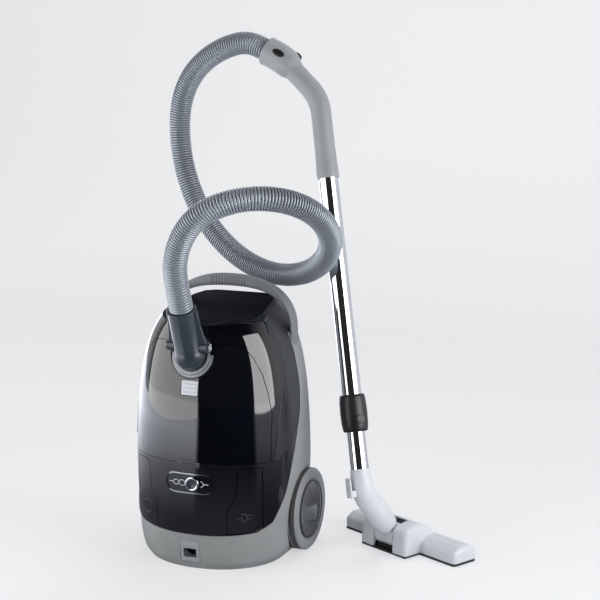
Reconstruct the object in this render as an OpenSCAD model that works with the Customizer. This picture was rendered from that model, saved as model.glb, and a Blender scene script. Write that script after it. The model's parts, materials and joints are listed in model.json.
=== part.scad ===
// Canister vacuum cleaner parked on its rear end, with hose, telescopic wand and floor head.
// Frame: +Z up, -Y front, +X right. The origin is the centre of the base on the floor.

/* [Canister case] */
// Height of the case at the top of its sloping deck's back edge
case_h = 456; // [452:1:466]
// Half width of the case at its widest
case_half_w = 147; // [145:0.5:152]
// Reach of the case in front of the origin
case_front = 120; // [118:0.5:124]
// Reach of the case behind the origin
case_back = 116; // [113:0.5:118]
// Wall of every moulded case part
wall = 3; // [2.4:0.1:3.4]
// Gap at the parting lines between case parts
parting = 0.8; // [0.5:0.1:1.4]
// Height of the seam between the rear panel and the dust cover
seam_z = 192; // [188:1:196]
// Height of the bumper at the front
bumper_z = 64; // [60:1:68]
// Drop from the top of the case to the line where the carry handle stands
shoulder_drop = 56; // [52:1:60]
// Drop from the top of the case to the front edge of the sloping deck
deck_drop = 28; // [24:1:32]

/* [Carry handle] */
// Rise of the carry handle's top above the case
handle_rise = 39; // [32:1:48]
// Distance of the handle's feet inside the case's widest line
handle_in = 21; // [17:0.5:23]
// Thickness of the handle at its top
handle_t = 21; // [16:0.5:23]
// Depth of the handle from front to back
handle_d = 28; // [22:1:32]
// Place of the handle behind the origin
handle_y = 62; // [56:1:66]

/* [Wheels and caster] */
// Radius of the rear wheels
wheel_r = 74; // [70:0.5:74.5]
// Width of the rear wheels
wheel_w = 28; // [22:1:28]
// Radius of the wheel axles
axle_r = 5; // [3.5:0.5:6]
// Radius of the glossy hub caps
hub_r = 51; // [40:1:54]
// Outer face of the wheels from the middle plane
wheel_face = 157; // [155:0.5:159]
// Distance of the wheel axles behind the origin
axle_y = 60; // [58:0.5:62]
// Height of the wheel axles
axle_z = 75; // [75:0.5:78]
// Radius of the caster wheel
caster_r = 15; // [11:0.5:15.5]
// Drop from the top of the case to the caster's swivel axis
caster_drop = 126; // [111:1:146]

/* [Inlet and elbow] */
// Drop from the top of the case to the inlet's centre
inlet_drop = 79; // [78:0.5:80]
// Distance of the inlet's centre in front of the origin
inlet_y = 98; // [97:0.5:99]
// Upward tilt of the inlet
inlet_tilt = 20; // [18:0.5:22]
// Outer radius of the inlet collar
collar_r = 40; // [36:0.5:41]
// Outer radius of the elbow's tube
elbow_r = 24.5; // [23:0.5:25]
// Length of the elbow's tube
elbow_len = 88; // [84:1:92]
// Forward lean of the elbow's tube
elbow_lean = 20; // [18:0.5:22]
// Radius of the airway through the elbow
airway_r = 16.5; // [14:0.5:17.5]

/* [Hose] */
// Radius of the hose over its ribs
hose_r = 20.5; // [19:0.5:20.5]
// Depth of the hose's ribs
rib_depth = 2; // [1:0.25:2.5]
// Radius of the hose's bore
hose_bore_r = 16; // [13:0.5:16.5]
// Number of ribs
hose_ribs = 172; // [120:1:200]

/* [Wand] */
// Outer radius of the upper tube
upper_r = 17.5; // [17:0.25:18]
// Outer radius of the lower tube
lower_r = 15.9; // [15:0.1:15.9]
// Wall of the steel tubes
tube_wall = 0.8; // [0.6:0.1:1]
// Bottom of the upper tube, measured from the neck's bend
upper_from = 150; // [146:1:160]
// Bottom of the grip's sleeve, measured from the neck's bend
sleeve_from = 559; // [540:1:575]
// Top of the lower tube, measured from the neck's bend
lower_to = 540; // [500:1:550]
// Length of the lock collar
lock_len = 66; // [60:1:72]
// Outer radius of the lock collar
lock_r = 24; // [22.5:0.5:26]

/* [Grip] */
// Outer radius of the grip's sleeve and neck
grip_r = 19.8; // [19.4:0.1:21]
// Height of the grip's bend above its sleeve's end
grip_rise = 145; // [135:1:155]
// Length of the grip's neck
neck_len = 100; // [96:1:104]
// Outer radius of the hose socket
socket_r = 26; // [25:0.5:27.5]
// Length of the hose socket's mouth
socket_len = 36; // [35:0.5:38]

/* [Floor head] */
// Overall width of the floor head
head_w = 284; // [262:1:300]
// Depth of the head's wings
wing_d = 58; // [54:1:66]
// Height of the head's wings
wing_h = 33; // [29:1:36]
// Width of the head's middle housing
hood_w = 116; // [104:1:130]
// Height of the head's middle housing
hood_h = 58; // [56:1:64]
// Width of the slot that the neck tilts in
slot_w = 49; // [46:1:52]
// Outer radius of the neck
neck_r = 21; // [20.5:0.25:22]
// Height of the tilt axis above the floor
pivot_z = 30; // [29:0.5:32]
// Backward lean of the neck's lower part
neck_lean = 38.5; // [36:0.5:41]
// Length of the neck's lower part
neck_lower = 119; // [117:0.5:121]

/* [Hidden] */
$fn = 48;
slide_gap = 0.3;
fit = 0.05;
seat = 0.2;

// Case sections: [height, share of the half width, share of the front reach, share of the back reach]
CASE_SECTIONS = [
    [0, 0.84, 0.91, 0.93], [14, 0.91, 0.965, 0.98], [42, 0.955, 0.99, 1], [95, 0.985, 1, 1],
    [180, 1, 1, 1], [245, 0.985, 0.985, 1], [300, 0.955, 0.955, 1], [340, 0.915, 0.91, 1],
    [372, 0.865, 0.87, 1], [402, 0.79, 0.82, 1], [430, 0.675, 0.74, 0.97], [448, 0.56, 0.62, 0.93],
    [470, 0.38, 0.42, 0.82]
];
tall = case_h / 456;
shoulder_z = case_h - shoulder_drop;
deck_z = case_h - deck_drop;
handle_top = case_h + handle_rise;
handle_half_w = case_half_w - handle_in;
inlet_z = case_h - inlet_drop;
caster_z = case_h - caster_drop;
round_front = 2.1;
round_back = 7;
case_sides = 36;

// Line where the grey rail of the base shell meets the dark case, as [y, z] from the front down and up
RAIL_LINE = [
    [-case_front - 60, bumper_z], [-118, bumper_z], [-80, bumper_z + 4], [-55, bumper_z + 18],
    [-28, 125 * tall], [-6, 180 * tall], [16, 222 * tall], [36, 262 * tall], [44, 300 * tall],
    [44, shoulder_z]
];
// Rising line of the seam along the case's sides, as [y, z]
SEAM_LINE = [[-case_front - 60, seam_z], [-46, seam_z], [0, seam_z + 23], [26, seam_z + 50]];

deck_front = -0.74 * case_front;
deck_slope = (case_h - deck_z) / (100 - deck_front);
function deck_height(y) = deck_z + (y - deck_front) * deck_slope;

cover_top = deck_z - 30;
cover_half_w = 0.87 * case_half_w;
COVER_RIGHT = [
    [cover_half_w, seam_z], [cover_half_w, 275 * tall], [cover_half_w - 6, 310 * tall],
    [cover_half_w - 15, 345 * tall], [cover_half_w - 28, cover_top - 26],
    [cover_half_w - 44, cover_top - 4], [cover_half_w - 60, cover_top]
];

hinge_r = 1.5;
knuckle_r = 3;
hinge_y = -(case_front - knuckle_r);
knuckle_half = 21;

pocket_x = wheel_face - wheel_w - 3;
pocket_r = wheel_r + 3;

motor_x = -58;
motor_r = 54;
motor_base = 58;
mount_t = 10;
tub_z = seam_z + 6;
motor_top = tub_z - mount_t;
shaft_r = 4;
fan_r = 46;
fan_z = motor_top - 34;

reel_x = 20;
reel_w = 56;
reel_y = -8;
reel_z = 86;
reel_r = 68;
spindle_r = 6;

tub_half_w = case_half_w - 51;
tub_front = -64;
tub_back = 88;
tub_top = cover_top - 12;
tub_corner = 40;
seal_t = 4;

exhaust_w = 84;
exhaust_h = 46;
exhaust_z = 132;
filter_t = 14;

slot_z = 155;
slot_half = 46;
knob_r = 12.5;
knob_x = 7;
knob_left = 37;
knob_right = 23;
slot_floor = -(case_front - 15);
slot_rim = 2;

pedal_x = 92;
pedal_z = 95;
pedal_stem_r = 5;
pedal_gap = 1.2;
// Room under the pedals, which the rail needs when they are pressed
pedal_foot_gap = pedal_gap + 2;
PEDAL_RIGHT = [
    [67, bumper_z - 2], [67, bumper_z + 48], [80, bumper_z + 66], [86, seam_z - 8],
    [118, seam_z - 8], [118, bumper_z - 2]
];

outlet_w = 38;
outlet_low = 12;
outlet_high = 50;

latch_z = inlet_z - 55;
latch_w = 32;
latch_h = 26;
latch_y = -0.93 * case_front;
latch_stem_r = 4;

post_y = -58;
post_t = 6;
board_x = 12;
board_w = 80;
board_h = 70;
board_z = 24;
board_y = case_back - wall - 10;
caster_stem_r = 5;
caster_trail = 10;
caster_w = 12;
cheek_in = caster_w / 2 + 1;
caster_well_r = 30;
caster_well_y = case_back - 16;
caster_y = axle_y + wheel_r - caster_r;
handle_leg = 8;

screw_r = 1.8;
eye_r = 22;
rotor_r = 20;
slot_r = 18;

ball_r = 27;
spigot_r = 20;
sleeve_len = 55;
sleeve_r = 26;
mouth_r = 27;
mouth_deep = 90;
boss_up = 16;
boss_r = 9;
boss_half = 38;
cuff_len = 8;
bore_step = 4;

sleeve_in = 42;
grip_bend_r = 60;
socket_back = 22;
relief_turn = 225;
lock_from = 106;
lock_button_up = 22;
tube_seat = 10;
neck_sleeve = 40;
neck_from = 24;
neck_bore_r = 14.5;
spigot_yoke_r = 17.8;
yoke_r = 21.5;
yoke_top = 50;
yoke_pin_r = 6;

wing_back = 14;
hood_back = -24;
hood_front = 60;
floor_gap = 0.5;
sole_z = 1;
sole_top = 4;
mouth_d = 16;
roller_r = 7;
roller_x = 42;
roller_y = -12;
screw_x = 80;
SCREW_ROWS = [seam_z + 36, shoulder_z - 48];

// Direction of the hose at its two ends and the route between them
elbow_out = [0, -sin(elbow_lean), cos(elbow_lean)];
elbow_lift = 10;
elbow_centre = [0, -inlet_y - elbow_lift * cos(inlet_tilt), inlet_z + elbow_lift * sin(inlet_tilt)];
hose_start = elbow_centre + elbow_out * elbow_len;

neck_yaw = -27.5;
head_at = [293, 112];
wand_tilt = 14.6;
wand_turn = 137;
grip_turn = 48.6;
grip_bend = 36.4;
socket_bend = 17.2;

function spin_z(p, a) = [p[0] * cos(a) - p[1] * sin(a), p[0] * sin(a) + p[1] * cos(a), p[2]];
function lean_y(p, a) = [p[0] * cos(a) + p[2] * sin(a), p[1], p[2] * cos(a) - p[0] * sin(a)];
function head_to_case(p) = spin_z(p, neck_yaw) + [head_at[0], head_at[1], 0];
function wand_dir(p) = spin_z(lean_y(p, wand_tilt), wand_turn);
function grip_dir(a) = wand_dir(spin_z([sin(a), 0, cos(a)], grip_turn));

neck_bend_at = head_to_case([0, -neck_lower * sin(neck_lean), pivot_z + neck_lower * cos(neck_lean)]);
neck_angle = acos(wand_dir([0, 0, 1]) * (neck_bend_at - head_to_case([0, 0, pivot_z])) / neck_lower);
grip_bend_at = neck_bend_at + wand_dir([0, 0, sleeve_from + grip_rise]);
socket_at = grip_bend_at + grip_dir(grip_bend) * neck_len;
socket_out = grip_dir(grip_bend + socket_bend);
hose_run = 2 * hose_r;
hose_end = socket_at + socket_out * (socket_len - hose_run);

HOSE_ROUTE = concat(
    [for (k = [-1 : 2]) hose_start + elbow_out * hose_run * k],
    [
        [20, -178, 592], [58, -190, 632], [112, -183, 656], [165, -155, 661], [205, -105, 645],
        [222, -50, 614], [216, 5, 575], [192, 50, 538], [150, 90, 506], [100, 122, 488],
        [45, 150, 483], [-10, 175, 493], [-65, 195, 518], [-115, 210, 560], [-150, 220, 610],
        [-172, 225, 665], [-180, 223, 725], [-175, 217, 785], [-150, 207, 837], [-108, 195, 874],
        [-60, 183, 896]
    ],
    [for (k = [2 : -1 : -1]) hose_end + socket_out * hose_run * k]
);

function route_point(s) =
    let (i = min(floor(s), len(HOSE_ROUTE) - 4), t = s - i, p = HOSE_ROUTE)
    ((1 - t) ^ 3 * p[i] + (3 * t ^ 3 - 6 * t ^ 2 + 4) * p[i + 1]
     + (1 + 3 * t + 3 * t ^ 2 - 3 * t ^ 3) * p[i + 2] + t ^ 3 * p[i + 3]) / 6;
route_spans = len(HOSE_ROUTE) - 3;

// ---- Shared forms -------------------------------------------------------------------------

// Point on the case's outline in direction a: round corners in front and square ones behind
function outline_point(a, half_w, front, back) =
    let (c = abs(cos(a)), s = abs(sin(a)), n = sin(a) < 0 ? round_front : round_back)
    let (r = 1 / (c ^ n + s ^ n) ^ (1 / n))
    [half_w * r * cos(a), (sin(a) < 0 ? front : back) * r * sin(a)];

// Rings of equal point counts, closed with a cap at each end
module loft(rings) {
    n = len(rings[0]);
    m = len(rings);
    walls = [
        for (i = [0 : m - 2]) for (j = [0 : n - 1]) for (half = [0, 1])
            let (k = (j + 1) % n)
            half == 0 ? [i * n + j, (i + 1) * n + k, i * n + k]
                      : [i * n + j, (i + 1) * n + j, (i + 1) * n + k]
    ];
    caps = [[for (j = [0 : n - 1]) j], [for (j = [n - 1 : -1 : 0]) (m - 1) * n + j]];
    polyhedron([for (r = rings) each r], concat(walls, caps));
}

// The case's outer form between two heights or a section more, drawn in by inset all over
module case_form(inset, low = 0, high = 1000) {
    last = len(CASE_SECTIONS) - 1;
    rows = [
        for (i = [0 : last])
            if ((i == last || CASE_SECTIONS[i + 1][0] * tall > low)
                && (i == 0 || CASE_SECTIONS[i - 1][0] * tall < high))
                CASE_SECTIONS[i]
    ];
    loft([
        for (row = rows)
            let (z = min(max(row[0] * tall, inset), CASE_SECTIONS[last][0] * tall - inset))
            [
                for (j = [0 : case_sides - 1])
                    let (p = outline_point((j + 0.5) * 360 / case_sides, row[1] * case_half_w - inset,
                                           row[2] * case_front - inset, row[3] * case_back - inset))
                    [p[0], p[1], z]
            ]
    ]);
}

// An area of the side view, through the whole width of the case
module side_area(points) {
    rotate([90, 0, 90])
        linear_extrude(2 * case_half_w + 20, center = true)
            polygon(points);
}

function mirrored(points) =
    concat(points, [for (i = [len(points) - 1 : -1 : 0]) [-points[i][0], points[i][1]]]);

module cover_area(grow) {
    rotate([90, 0, 0])
        linear_extrude(case_front + 20)
            offset(delta = grow)
                polygon(mirrored(COVER_RIGHT));
}

// Skin of the case between two heights, or a section more
module case_skin(low, high) {
    difference() {
        case_form(0, low, high);
        case_form(wall, low - 1, high + 1);
    }
}

module at_inlet() {
    translate([0, -inlet_y, inlet_z])
        rotate([90 - inlet_tilt, 0, 0])
            children();
}

module along_elbow() {
    translate(elbow_centre)
        rotate([elbow_lean, 0, 0])
            children();
}

module on_wand() {
    translate(neck_bend_at)
        rotate([0, wand_tilt, wand_turn])
            children();
}

module on_grip() {
    on_wand()
        translate([0, 0, sleeve_from])
            rotate([0, 0, grip_turn])
                children();
}

module on_socket() {
    on_grip()
        translate([0, 0, grip_rise])
            rotate([0, grip_bend, 0])
                translate([0, 0, neck_len])
                    rotate([0, socket_bend, 0])
                        children();
}

module on_head() {
    translate([head_at[0], head_at[1], 0])
        rotate([0, 0, neck_yaw])
            children();
}

module on_neck() {
    on_head()
        translate([0, 0, pivot_z])
            rotate([neck_lean, 0, 0])
                children();
}

// Cylinder along X between two places
module bar_x(r, x0, x1) {
    translate([x0, 0, 0])
        rotate([0, 90, 0])
            cylinder(r = r, h = x1 - x0);
}

// Cylinder along Y between two places
module bar_y(r, y0, y1) {
    translate([0, y1, 0])
        rotate([90, 0, 0])
            cylinder(r = r, h = y1 - y0);
}

module ring(outer, inner, h) {
    difference() {
        cylinder(r = outer, h = h);
        translate([0, 0, -1])
            cylinder(r = inner, h = h + 2);
    }
}

module slot_prism(half, r, y0, y1) {
    for (s = [-1, 1])
        translate([s * (half - r), 0, 0])
            bar_y(r, y0, y1);
    translate([-(half - r), y0, -r])
        cube([2 * (half - r), y1 - y0, 2 * r]);
}

// ---- Case ---------------------------------------------------------------------------------

BASE_AREA = concat([[-200, -5]], [for (p = RAIL_LINE) p - [0, parting / 2]],
                   [[200, shoulder_z - parting / 2], [200, -5]]);

module base_shell() {
    color("#8f9192")
        difference() {
            union() {
                difference() {
                    intersection() {
                        case_form(0, 0, shoulder_z);
                        side_area(BASE_AREA);
                    }
                    difference() {
                        case_form(wall, 0, shoulder_z);
                        wheel_wells();
                        base_fittings();
                    }
                }
                for (s = [-1, 1])
                    translate([s * pedal_x - 9, post_y, wall - 1])
                        cube([18, post_t, pedal_z + 11 - wall]);
            }
            for (s = [-1, 1])
                translate([0, axle_y, axle_z]) {
                    bar_x(pocket_r, s > 0 ? pocket_x : -200, s > 0 ? 200 : -pocket_x);
                    bar_x(axle_r + seat, s > 0 ? pocket_x - wall - 1 : -pocket_x - 1,
                          s > 0 ? pocket_x + 1 : -pocket_x + wall + 1);
                }
            translate([motor_x - exhaust_w / 2 - 0.5, case_back - 20, exhaust_z - exhaust_h / 2 - 0.5])
                cube([exhaust_w + 1, 40, exhaust_h + 1]);
            translate([-outlet_w / 2 - seat, -case_front - 10, outlet_low - seat])
                cube([outlet_w + 2 * seat, 34, outlet_high - outlet_low + 2 * seat]);
            translate([0, 0, caster_z]) {
                bar_y(caster_well_r, caster_well_y, case_back + 5);
                bar_y(caster_stem_r + fit, tub_back, caster_well_y + 1);
            }
            for (s = [-1, 1], z = SCREW_ROWS)
                translate([s * screw_x, 0, z])
                    bar_y(screw_r + seat, case_back - 10, case_back + 5);
            for (s = [-1, 1])
                translate([s * pedal_x, 0, pedal_z])
                    bar_y(pedal_stem_r + fit, post_y - 1, post_y + post_t + 1);
        }
}

// Inner walls round the wheels
module wheel_wells() {
    for (s = [-1, 1])
        translate([0, axle_y, axle_z])
            bar_x(pocket_r + wall, s > 0 ? pocket_x - wall : -case_half_w,
                  s > 0 ? case_half_w : -pocket_x + wall);
}

// Seats inside the base shell
module base_fittings() {
    translate([motor_x, 0, 0])
        ring(motor_r - 8, motor_r - 22, motor_base - mount_t);
    for (x = [board_x + 6, board_x + board_w - 6], z = [board_z + 6, board_z + board_h - 6])
        translate([x, 0, z])
            bar_y(3.5, board_y, case_back);
    translate([0, 0, caster_z]) {
        bar_y(caster_stem_r + 5, tub_back + 1, caster_well_y);
        bar_y(caster_well_r + wall, caster_well_y - wall, case_back);
    }
}

UPPER_AREA = concat([for (p = SEAM_LINE) p + [0, parting / 2]],
                    [for (i = [7 : 9]) RAIL_LINE[i] + [-parting / 2, 0]],
                    [[44 - parting / 2, shoulder_z + parting / 2], [200, shoulder_z + parting / 2],
                     [200, deck_height(200)], [-200, deck_height(-200)]]);

module upper_shell() {
    color("#3c3f42")
        difference() {
            intersection() {
                case_form(0, seam_z);
                side_area(UPPER_AREA);
            }
            difference() {
                case_form(wall, seam_z);
                side_area([[-200, deck_height(-200) - wall], [-200, 600], [200, 600],
                           [200, deck_height(200) - wall]]);
            }
            cover_area(parting);
            at_inlet()
                cylinder(r = collar_r + seat, h = 60, center = true);
        }
}

PANEL_AREA = concat([[-case_front - 60, bumper_z + parting / 2]],
                    [for (i = [1 : 6]) RAIL_LINE[i] + [-parting / 4, parting / 2]],
                    [for (i = [3 : -1 : 0]) SEAM_LINE[i] - [i * parting / 4, parting / 2]]);

module pedal_area(grow) {
    rotate([90, 0, 0])
        linear_extrude(case_front + 20)
            offset(delta = grow)
                polygon(PEDAL_RIGHT);
}

module rear_panel() {
    color("#16181d") {
        difference() {
            intersection() {
                case_skin(bumper_z, seam_z + 50);
                side_area(PANEL_AREA);
            }
            pedal_area(pedal_gap);
            mirror([1, 0, 0])
                pedal_area(pedal_gap);
            translate([0, 0, slot_z])
                slot_prism(slot_half + seat, slot_r + seat, -case_front - 5, -80);
            hinge_groove();
        }
        for (s = [-1, 1])
            knuckle(s > 0 ? knuckle_half / 2 : -knuckle_half, s > 0 ? knuckle_half : -knuckle_half / 2,
                    -knuckle_r - 4);
    }
}

// The arch of the carry handle, whose feet lie against the case's flanks
module carry_handle() {
    foot = shoulder_z - 32;
    color("#8f9192")
        difference() {
            loft([
                for (i = [-1 : 29])
                    let (a = 180 * min(max(i, 0), 28) / 28, drop = i < 0 || i > 28 ? foot : shoulder_z)
                    let (px = sign(cos(a)) * abs(cos(a)) ^ 0.86, pz = sin(a) ^ 0.86)
                    let (t = handle_leg + (handle_t - handle_leg) * sin(a) ^ 1.5)
                    let (outer = [handle_half_w * px, drop + (handle_top - shoulder_z) * pz])
                    let (inner = [(handle_half_w - handle_leg) * px,
                                  drop + (handle_top - t - shoulder_z) * pz])
                    [
                        for (k = [0 : 11])
                            let (b = 15 + 30 * k)
                            let (p = inner + (outer - inner) * (0.5 + 0.5 * rounded(cos(b))))
                            [p[0], handle_y + rounded(sin(b)) * handle_d / 2, p[1]]
                    ]
            ]);
            case_form(0, foot);
        }
}
function rounded(v) = sign(v) * min(1, abs(v) * 1.12) ^ 0.75;

// Prism along Y of the bag chamber's outline, drawn in by inset
module tub_outline(inset, y0, y1) {
    w = tub_half_w - inset;
    r = tub_corner - inset;
    translate([0, y1, 0])
        rotate([90, 0, 0])
            linear_extrude(y1 - y0) {
                translate([-w, tub_z + inset])
                    square([2 * w, tub_top - tub_z - 2 * inset - r]);
                for (s = [-1, 1])
                    translate([s * (w - r), tub_top - inset - r])
                        circle(r);
                translate([-w + r, tub_top - inset - r])
                    square([2 * (w - r), r]);
            }
}

module bag_chamber() {
    color("#b9bcbc")
        difference() {
            union() {
                tub_outline(0, tub_front, tub_back);
                intersection() {
                    at_inlet()
                        translate([0, 0, -mouth_deep - wall])
                            cylinder(r = mouth_r + 1 + wall, h = mouth_deep);
                    translate([-mouth_r - 10, tub_front, inlet_z - 60])
                        cube([2 * mouth_r + 20, 120, 90]);
                }
                intersection() {
                    for (s = [-1, 1], z = SCREW_ROWS)
                        translate([s * screw_x, 0, z])
                            bar_y(6, tub_back - 1, case_back);
                    case_form(wall, SCREW_ROWS[0] - 6, SCREW_ROWS[1] + 6);
                }
            }
            tub_outline(wall, tub_front - 1, tub_back - wall);
            at_inlet()
                translate([0, 0, -mouth_deep])
                    cylinder(r = mouth_r + 1, h = mouth_deep);
            translate([motor_x, 0, tub_z - 1])
                cylinder(r = eye_r, h = wall + 2);
            for (s = [-1, 1], z = SCREW_ROWS)
                translate([s * screw_x, 0, z])
                    bar_y(screw_r, tub_back + 4, case_back);
        }
}

module chamber_seal() {
    color("#2b2c2e")
        difference() {
            tub_outline(0, tub_front - seal_t, tub_front);
            tub_outline(2 * wall, tub_front - seal_t - 1, tub_front + 1);
            at_inlet()
                translate([0, 0, -mouth_deep])
                    cylinder(r = mouth_r + 1, h = mouth_deep);
        }
}

module inlet_collar() {
    color("#c9cccd")
        at_inlet()
            difference() {
                union() {
                    translate([0, 0, -14])
                        cylinder(r = collar_r, h = 13);
                    translate([0, 0, -2])
                        cylinder(r = collar_r - 6, h = 3.4);
                    translate([0, 0, -sleeve_len])
                        cylinder(r = sleeve_r, h = sleeve_len);
                }
                translate([0, 0, -8])
                    cylinder(r = ball_r + 1.5, h = 20);
                translate([0, 0, -sleeve_len - 1])
                    cylinder(r = spigot_r + fit, h = sleeve_len);
            }
}

module bag_holder() {
    color("#d8d4c6")
        difference() {
            intersection() {
                at_inlet()
                    translate([-tub_half_w, -28, -sleeve_len - 3])
                        cube([2 * tub_half_w, 52, 3]);
                tub_outline(wall, tub_front, tub_back);
            }
            at_inlet()
                translate([0, 0, -sleeve_len - 4])
                    cylinder(r = spigot_r + seat, h = 5);
        }
}

module dust_bag() {
    r = 22;
    corners = [[-14, tub_z + 34], [2, 350], [58, tub_z + 34], [58, 350]];
    color("#e6e2d6")
        difference() {
            union() {
                hull()
                    for (x = [-1, 1] * (tub_half_w - 36), p = corners)
                        translate([x, p[0], p[1]])
                            sphere(r, $fn = 20);
                at_inlet()
                    translate([0, 0, -mouth_deep - 1])
                        cylinder(r = mouth_r, h = mouth_deep + 1 - sleeve_len - 3 - seat);
            }
            at_inlet()
                translate([0, 0, -72])
                    cylinder(r = spigot_r + 0.6, h = 20);
        }
}

module motor_filter() {
    color("#dfe3e6")
        translate([motor_x - 32, -32, tub_z + wall])
            cube([64, 64, 6]);
}

module motor_case() {
    top = motor_top;
    color("#a9abad")
        translate([motor_x, 0, 0])
            difference() {
                translate([0, 0, motor_base])
                    cylinder(r = motor_r, h = top - motor_base);
                translate([0, 0, motor_base + 6])
                    cylinder(r = motor_r - wall, h = fan_z - 14 - motor_base);
                translate([0, 0, fan_z - 2])
                    cylinder(r = motor_r - wall, h = top - wall - fan_z + 2);
                translate([0, 0, top - wall - 1])
                    cylinder(r = eye_r, h = wall + 2);
                translate([0, 0, motor_base - 1])
                    cylinder(r = shaft_r + fit, h = top - motor_base);
                for (a = [0 : 60 : 300])
                    rotate(a) {
                        translate([motor_r - 14, 0, fan_z - 12])
                            cylinder(r = 6, h = 14);
                        translate([0, 0, motor_base + 22])
                            bar_x(7, motor_r - 10, motor_r + 5);
                    }
            }
}

module motor_stator() {
    color("#7c6a58")
        translate([motor_x, 0, motor_base + 20])
            ring(motor_r - wall - seat, rotor_r + 3, 46);
}

module motor_rotor() {
    color("#b07a45")
        translate([motor_x, 0, 0]) {
            translate([0, 0, motor_base + 0.5])
                cylinder(r = shaft_r, h = fan_z + 20 - motor_base);
            translate([0, 0, motor_base + 20])
                cylinder(r = rotor_r, h = 46);
            translate([0, 0, motor_base + 8])
                cylinder(r = 11, h = 10);
        }
}

module impeller() {
    color("#c8ccd0")
        translate([motor_x, 0, fan_z])
            difference() {
                union() {
                    cylinder(r = fan_r, h = 1.5);
                    translate([0, 0, 11.5])
                        ring(fan_r, eye_r - 4, 1.5);
                    cylinder(r = 8, h = 12);
                    for (a = [0 : 36 : 324])
                        rotate(a)
                            translate([14, 0, 1])
                                rotate(-38)
                                    cube([fan_r - 18, 1.4, 11]);
                }
                translate([0, 0, -1])
                    cylinder(r = shaft_r, h = 20);
            }
}

module motor_mounts() {
    color("#242527")
        translate([motor_x, 0, 0]) {
            translate([0, 0, motor_base - mount_t])
                ring(motor_r - 4, motor_r - 24, mount_t);
            translate([0, 0, motor_top])
                ring(motor_r - 4, motor_r - 24, mount_t);
        }
}

module control_board() {
    color("#2f6b45")
        translate([board_x, board_y - 1.6, board_z])
            cube([board_w, 1.6, board_h]);
    color("#3b3b3b")
        for (p = [[18, 20, 16, 12], [44, 16, 12, 18], [26, 44, 22, 10]])
            translate([board_x + p[0], board_y - 1.6 - p[3], board_z + p[1]])
                cube([p[2], p[3], p[2] - 4]);
}

module reel_frame() {
    depth = 84;
    color("#5c6062")
        translate([0, reel_y, 0])
            difference() {
                union() {
                    for (x = [reel_x - 5, reel_x + reel_w + 2])
                        translate([x, -depth / 2, wall])
                            cube([3, depth, reel_z + 14 - wall]);
                    translate([reel_x - 5, -depth / 2, wall])
                        cube([reel_w + 10, depth, wall]);
                    translate([0, 0, reel_z])
                        bar_x(spindle_r, reel_x - 5, reel_x + reel_w + 5);
                }
            }
}

module reel_drum() {
    core = 36;
    color("#8b8f92")
        translate([0, reel_y, reel_z])
            difference() {
                union() {
                    bar_x(core, reel_x, reel_x + reel_w);
                    bar_x(reel_r, reel_x, reel_x + 3);
                    bar_x(reel_r, reel_x + reel_w - 3, reel_x + reel_w);
                }
                bar_x(spindle_r + fit, reel_x - 1, reel_x + reel_w + 1);
                bar_x(core - 3, reel_x + 30, reel_x + reel_w + 1);
            }
}

module reel_spring() {
    color("#9aa3ab")
        translate([0, reel_y, reel_z])
            difference() {
                bar_x(30, reel_x + 32, reel_x + reel_w - 2);
                bar_x(spindle_r, reel_x + 31, reel_x + reel_w);
            }
}

module exhaust_filter() {
    color("#e3e6e8")
        translate([motor_x - exhaust_w / 2, case_back - wall - 4 - filter_t, exhaust_z - exhaust_h / 2])
            cube([exhaust_w, filter_t, exhaust_h]);
}

module exhaust_grille() {
    slats = 7;
    pitch = exhaust_h / slats;
    color("#4a4d50")
        translate([motor_x, 0, exhaust_z])
            difference() {
                union() {
                    translate([-exhaust_w / 2, case_back - wall - 4, -exhaust_h / 2])
                        cube([exhaust_w, wall + 3, exhaust_h]);
                    intersection() {
                        translate([-exhaust_w / 2 - 4, case_back - wall - 4, -exhaust_h / 2 - 4])
                            cube([exhaust_w + 8, 10, exhaust_h + 8]);
                        translate([-motor_x, 0, -exhaust_z])
                            case_form(wall, exhaust_z - exhaust_h / 2 - 4, exhaust_z + exhaust_h / 2 + 4);
                    }
                }
                for (i = [0 : slats - 1])
                    translate([-exhaust_w / 2 + 4, case_back - 12, (i + 0.25) * pitch - exhaust_h / 2])
                        cube([exhaust_w - 8, 20, pitch / 2]);
            }
}

module cord_outlet() {
    window_w = 23;
    color("#9a9c9d")
        difference() {
            intersection() {
                case_form(0, outlet_low, outlet_high);
                translate([-outlet_w / 2, -case_front - 10, outlet_low])
                    cube([outlet_w, 30, outlet_high - outlet_low]);
            }
            translate([-window_w / 2, -case_front - 10, outlet_low + 10])
                cube([window_w, 40, 15]);
        }
}

module slider_guide() {
    color("#d5d8da")
        difference() {
            intersection() {
                translate([0, 0, slot_z])
                    slot_prism(slot_half, slot_r, -case_front - 5, slot_floor + 3);
                case_form(0, slot_z - slot_r, slot_z + slot_r);
            }
            translate([0, 0, slot_z])
                slot_prism(slot_half - slot_rim, slot_r - slot_rim, -case_front - 5, slot_floor);
            translate([-knob_left + knob_x - 3, slot_floor - 1, slot_z - 3])
                cube([knob_left + knob_right + 6, 6, 6]);
        }
}

module power_slider() {
    color("#c9ccd0")
        translate([knob_x, 0, slot_z]) {
            bar_y(knob_r, -case_front + 1, slot_floor - slide_gap);
            bar_y(2.7, slot_floor - 1, slot_floor + 6);
            bar_y(6, slot_floor + 3 + slide_gap, slot_floor + 6);
        }
}

module pedal() {
    low = bumper_z;
    inner_y = -0.795 * case_front + wall;
    intersection() {
        case_form(0, low, seam_z - 8);
        union() {
            difference() {
                pedal_area(0);
                case_form(wall, low, seam_z - 8);
                translate([0, 0, pedal_foot_gap])
                    side_area(BASE_AREA);
            }
            translate([pedal_x, 0, pedal_z]) {
                bar_y(pedal_stem_r, inner_y - 4, post_y + post_t - 1);
                bar_y(pedal_stem_r + 4, inner_y - 4, inner_y + 4);
            }
        }
    }
}

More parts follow.
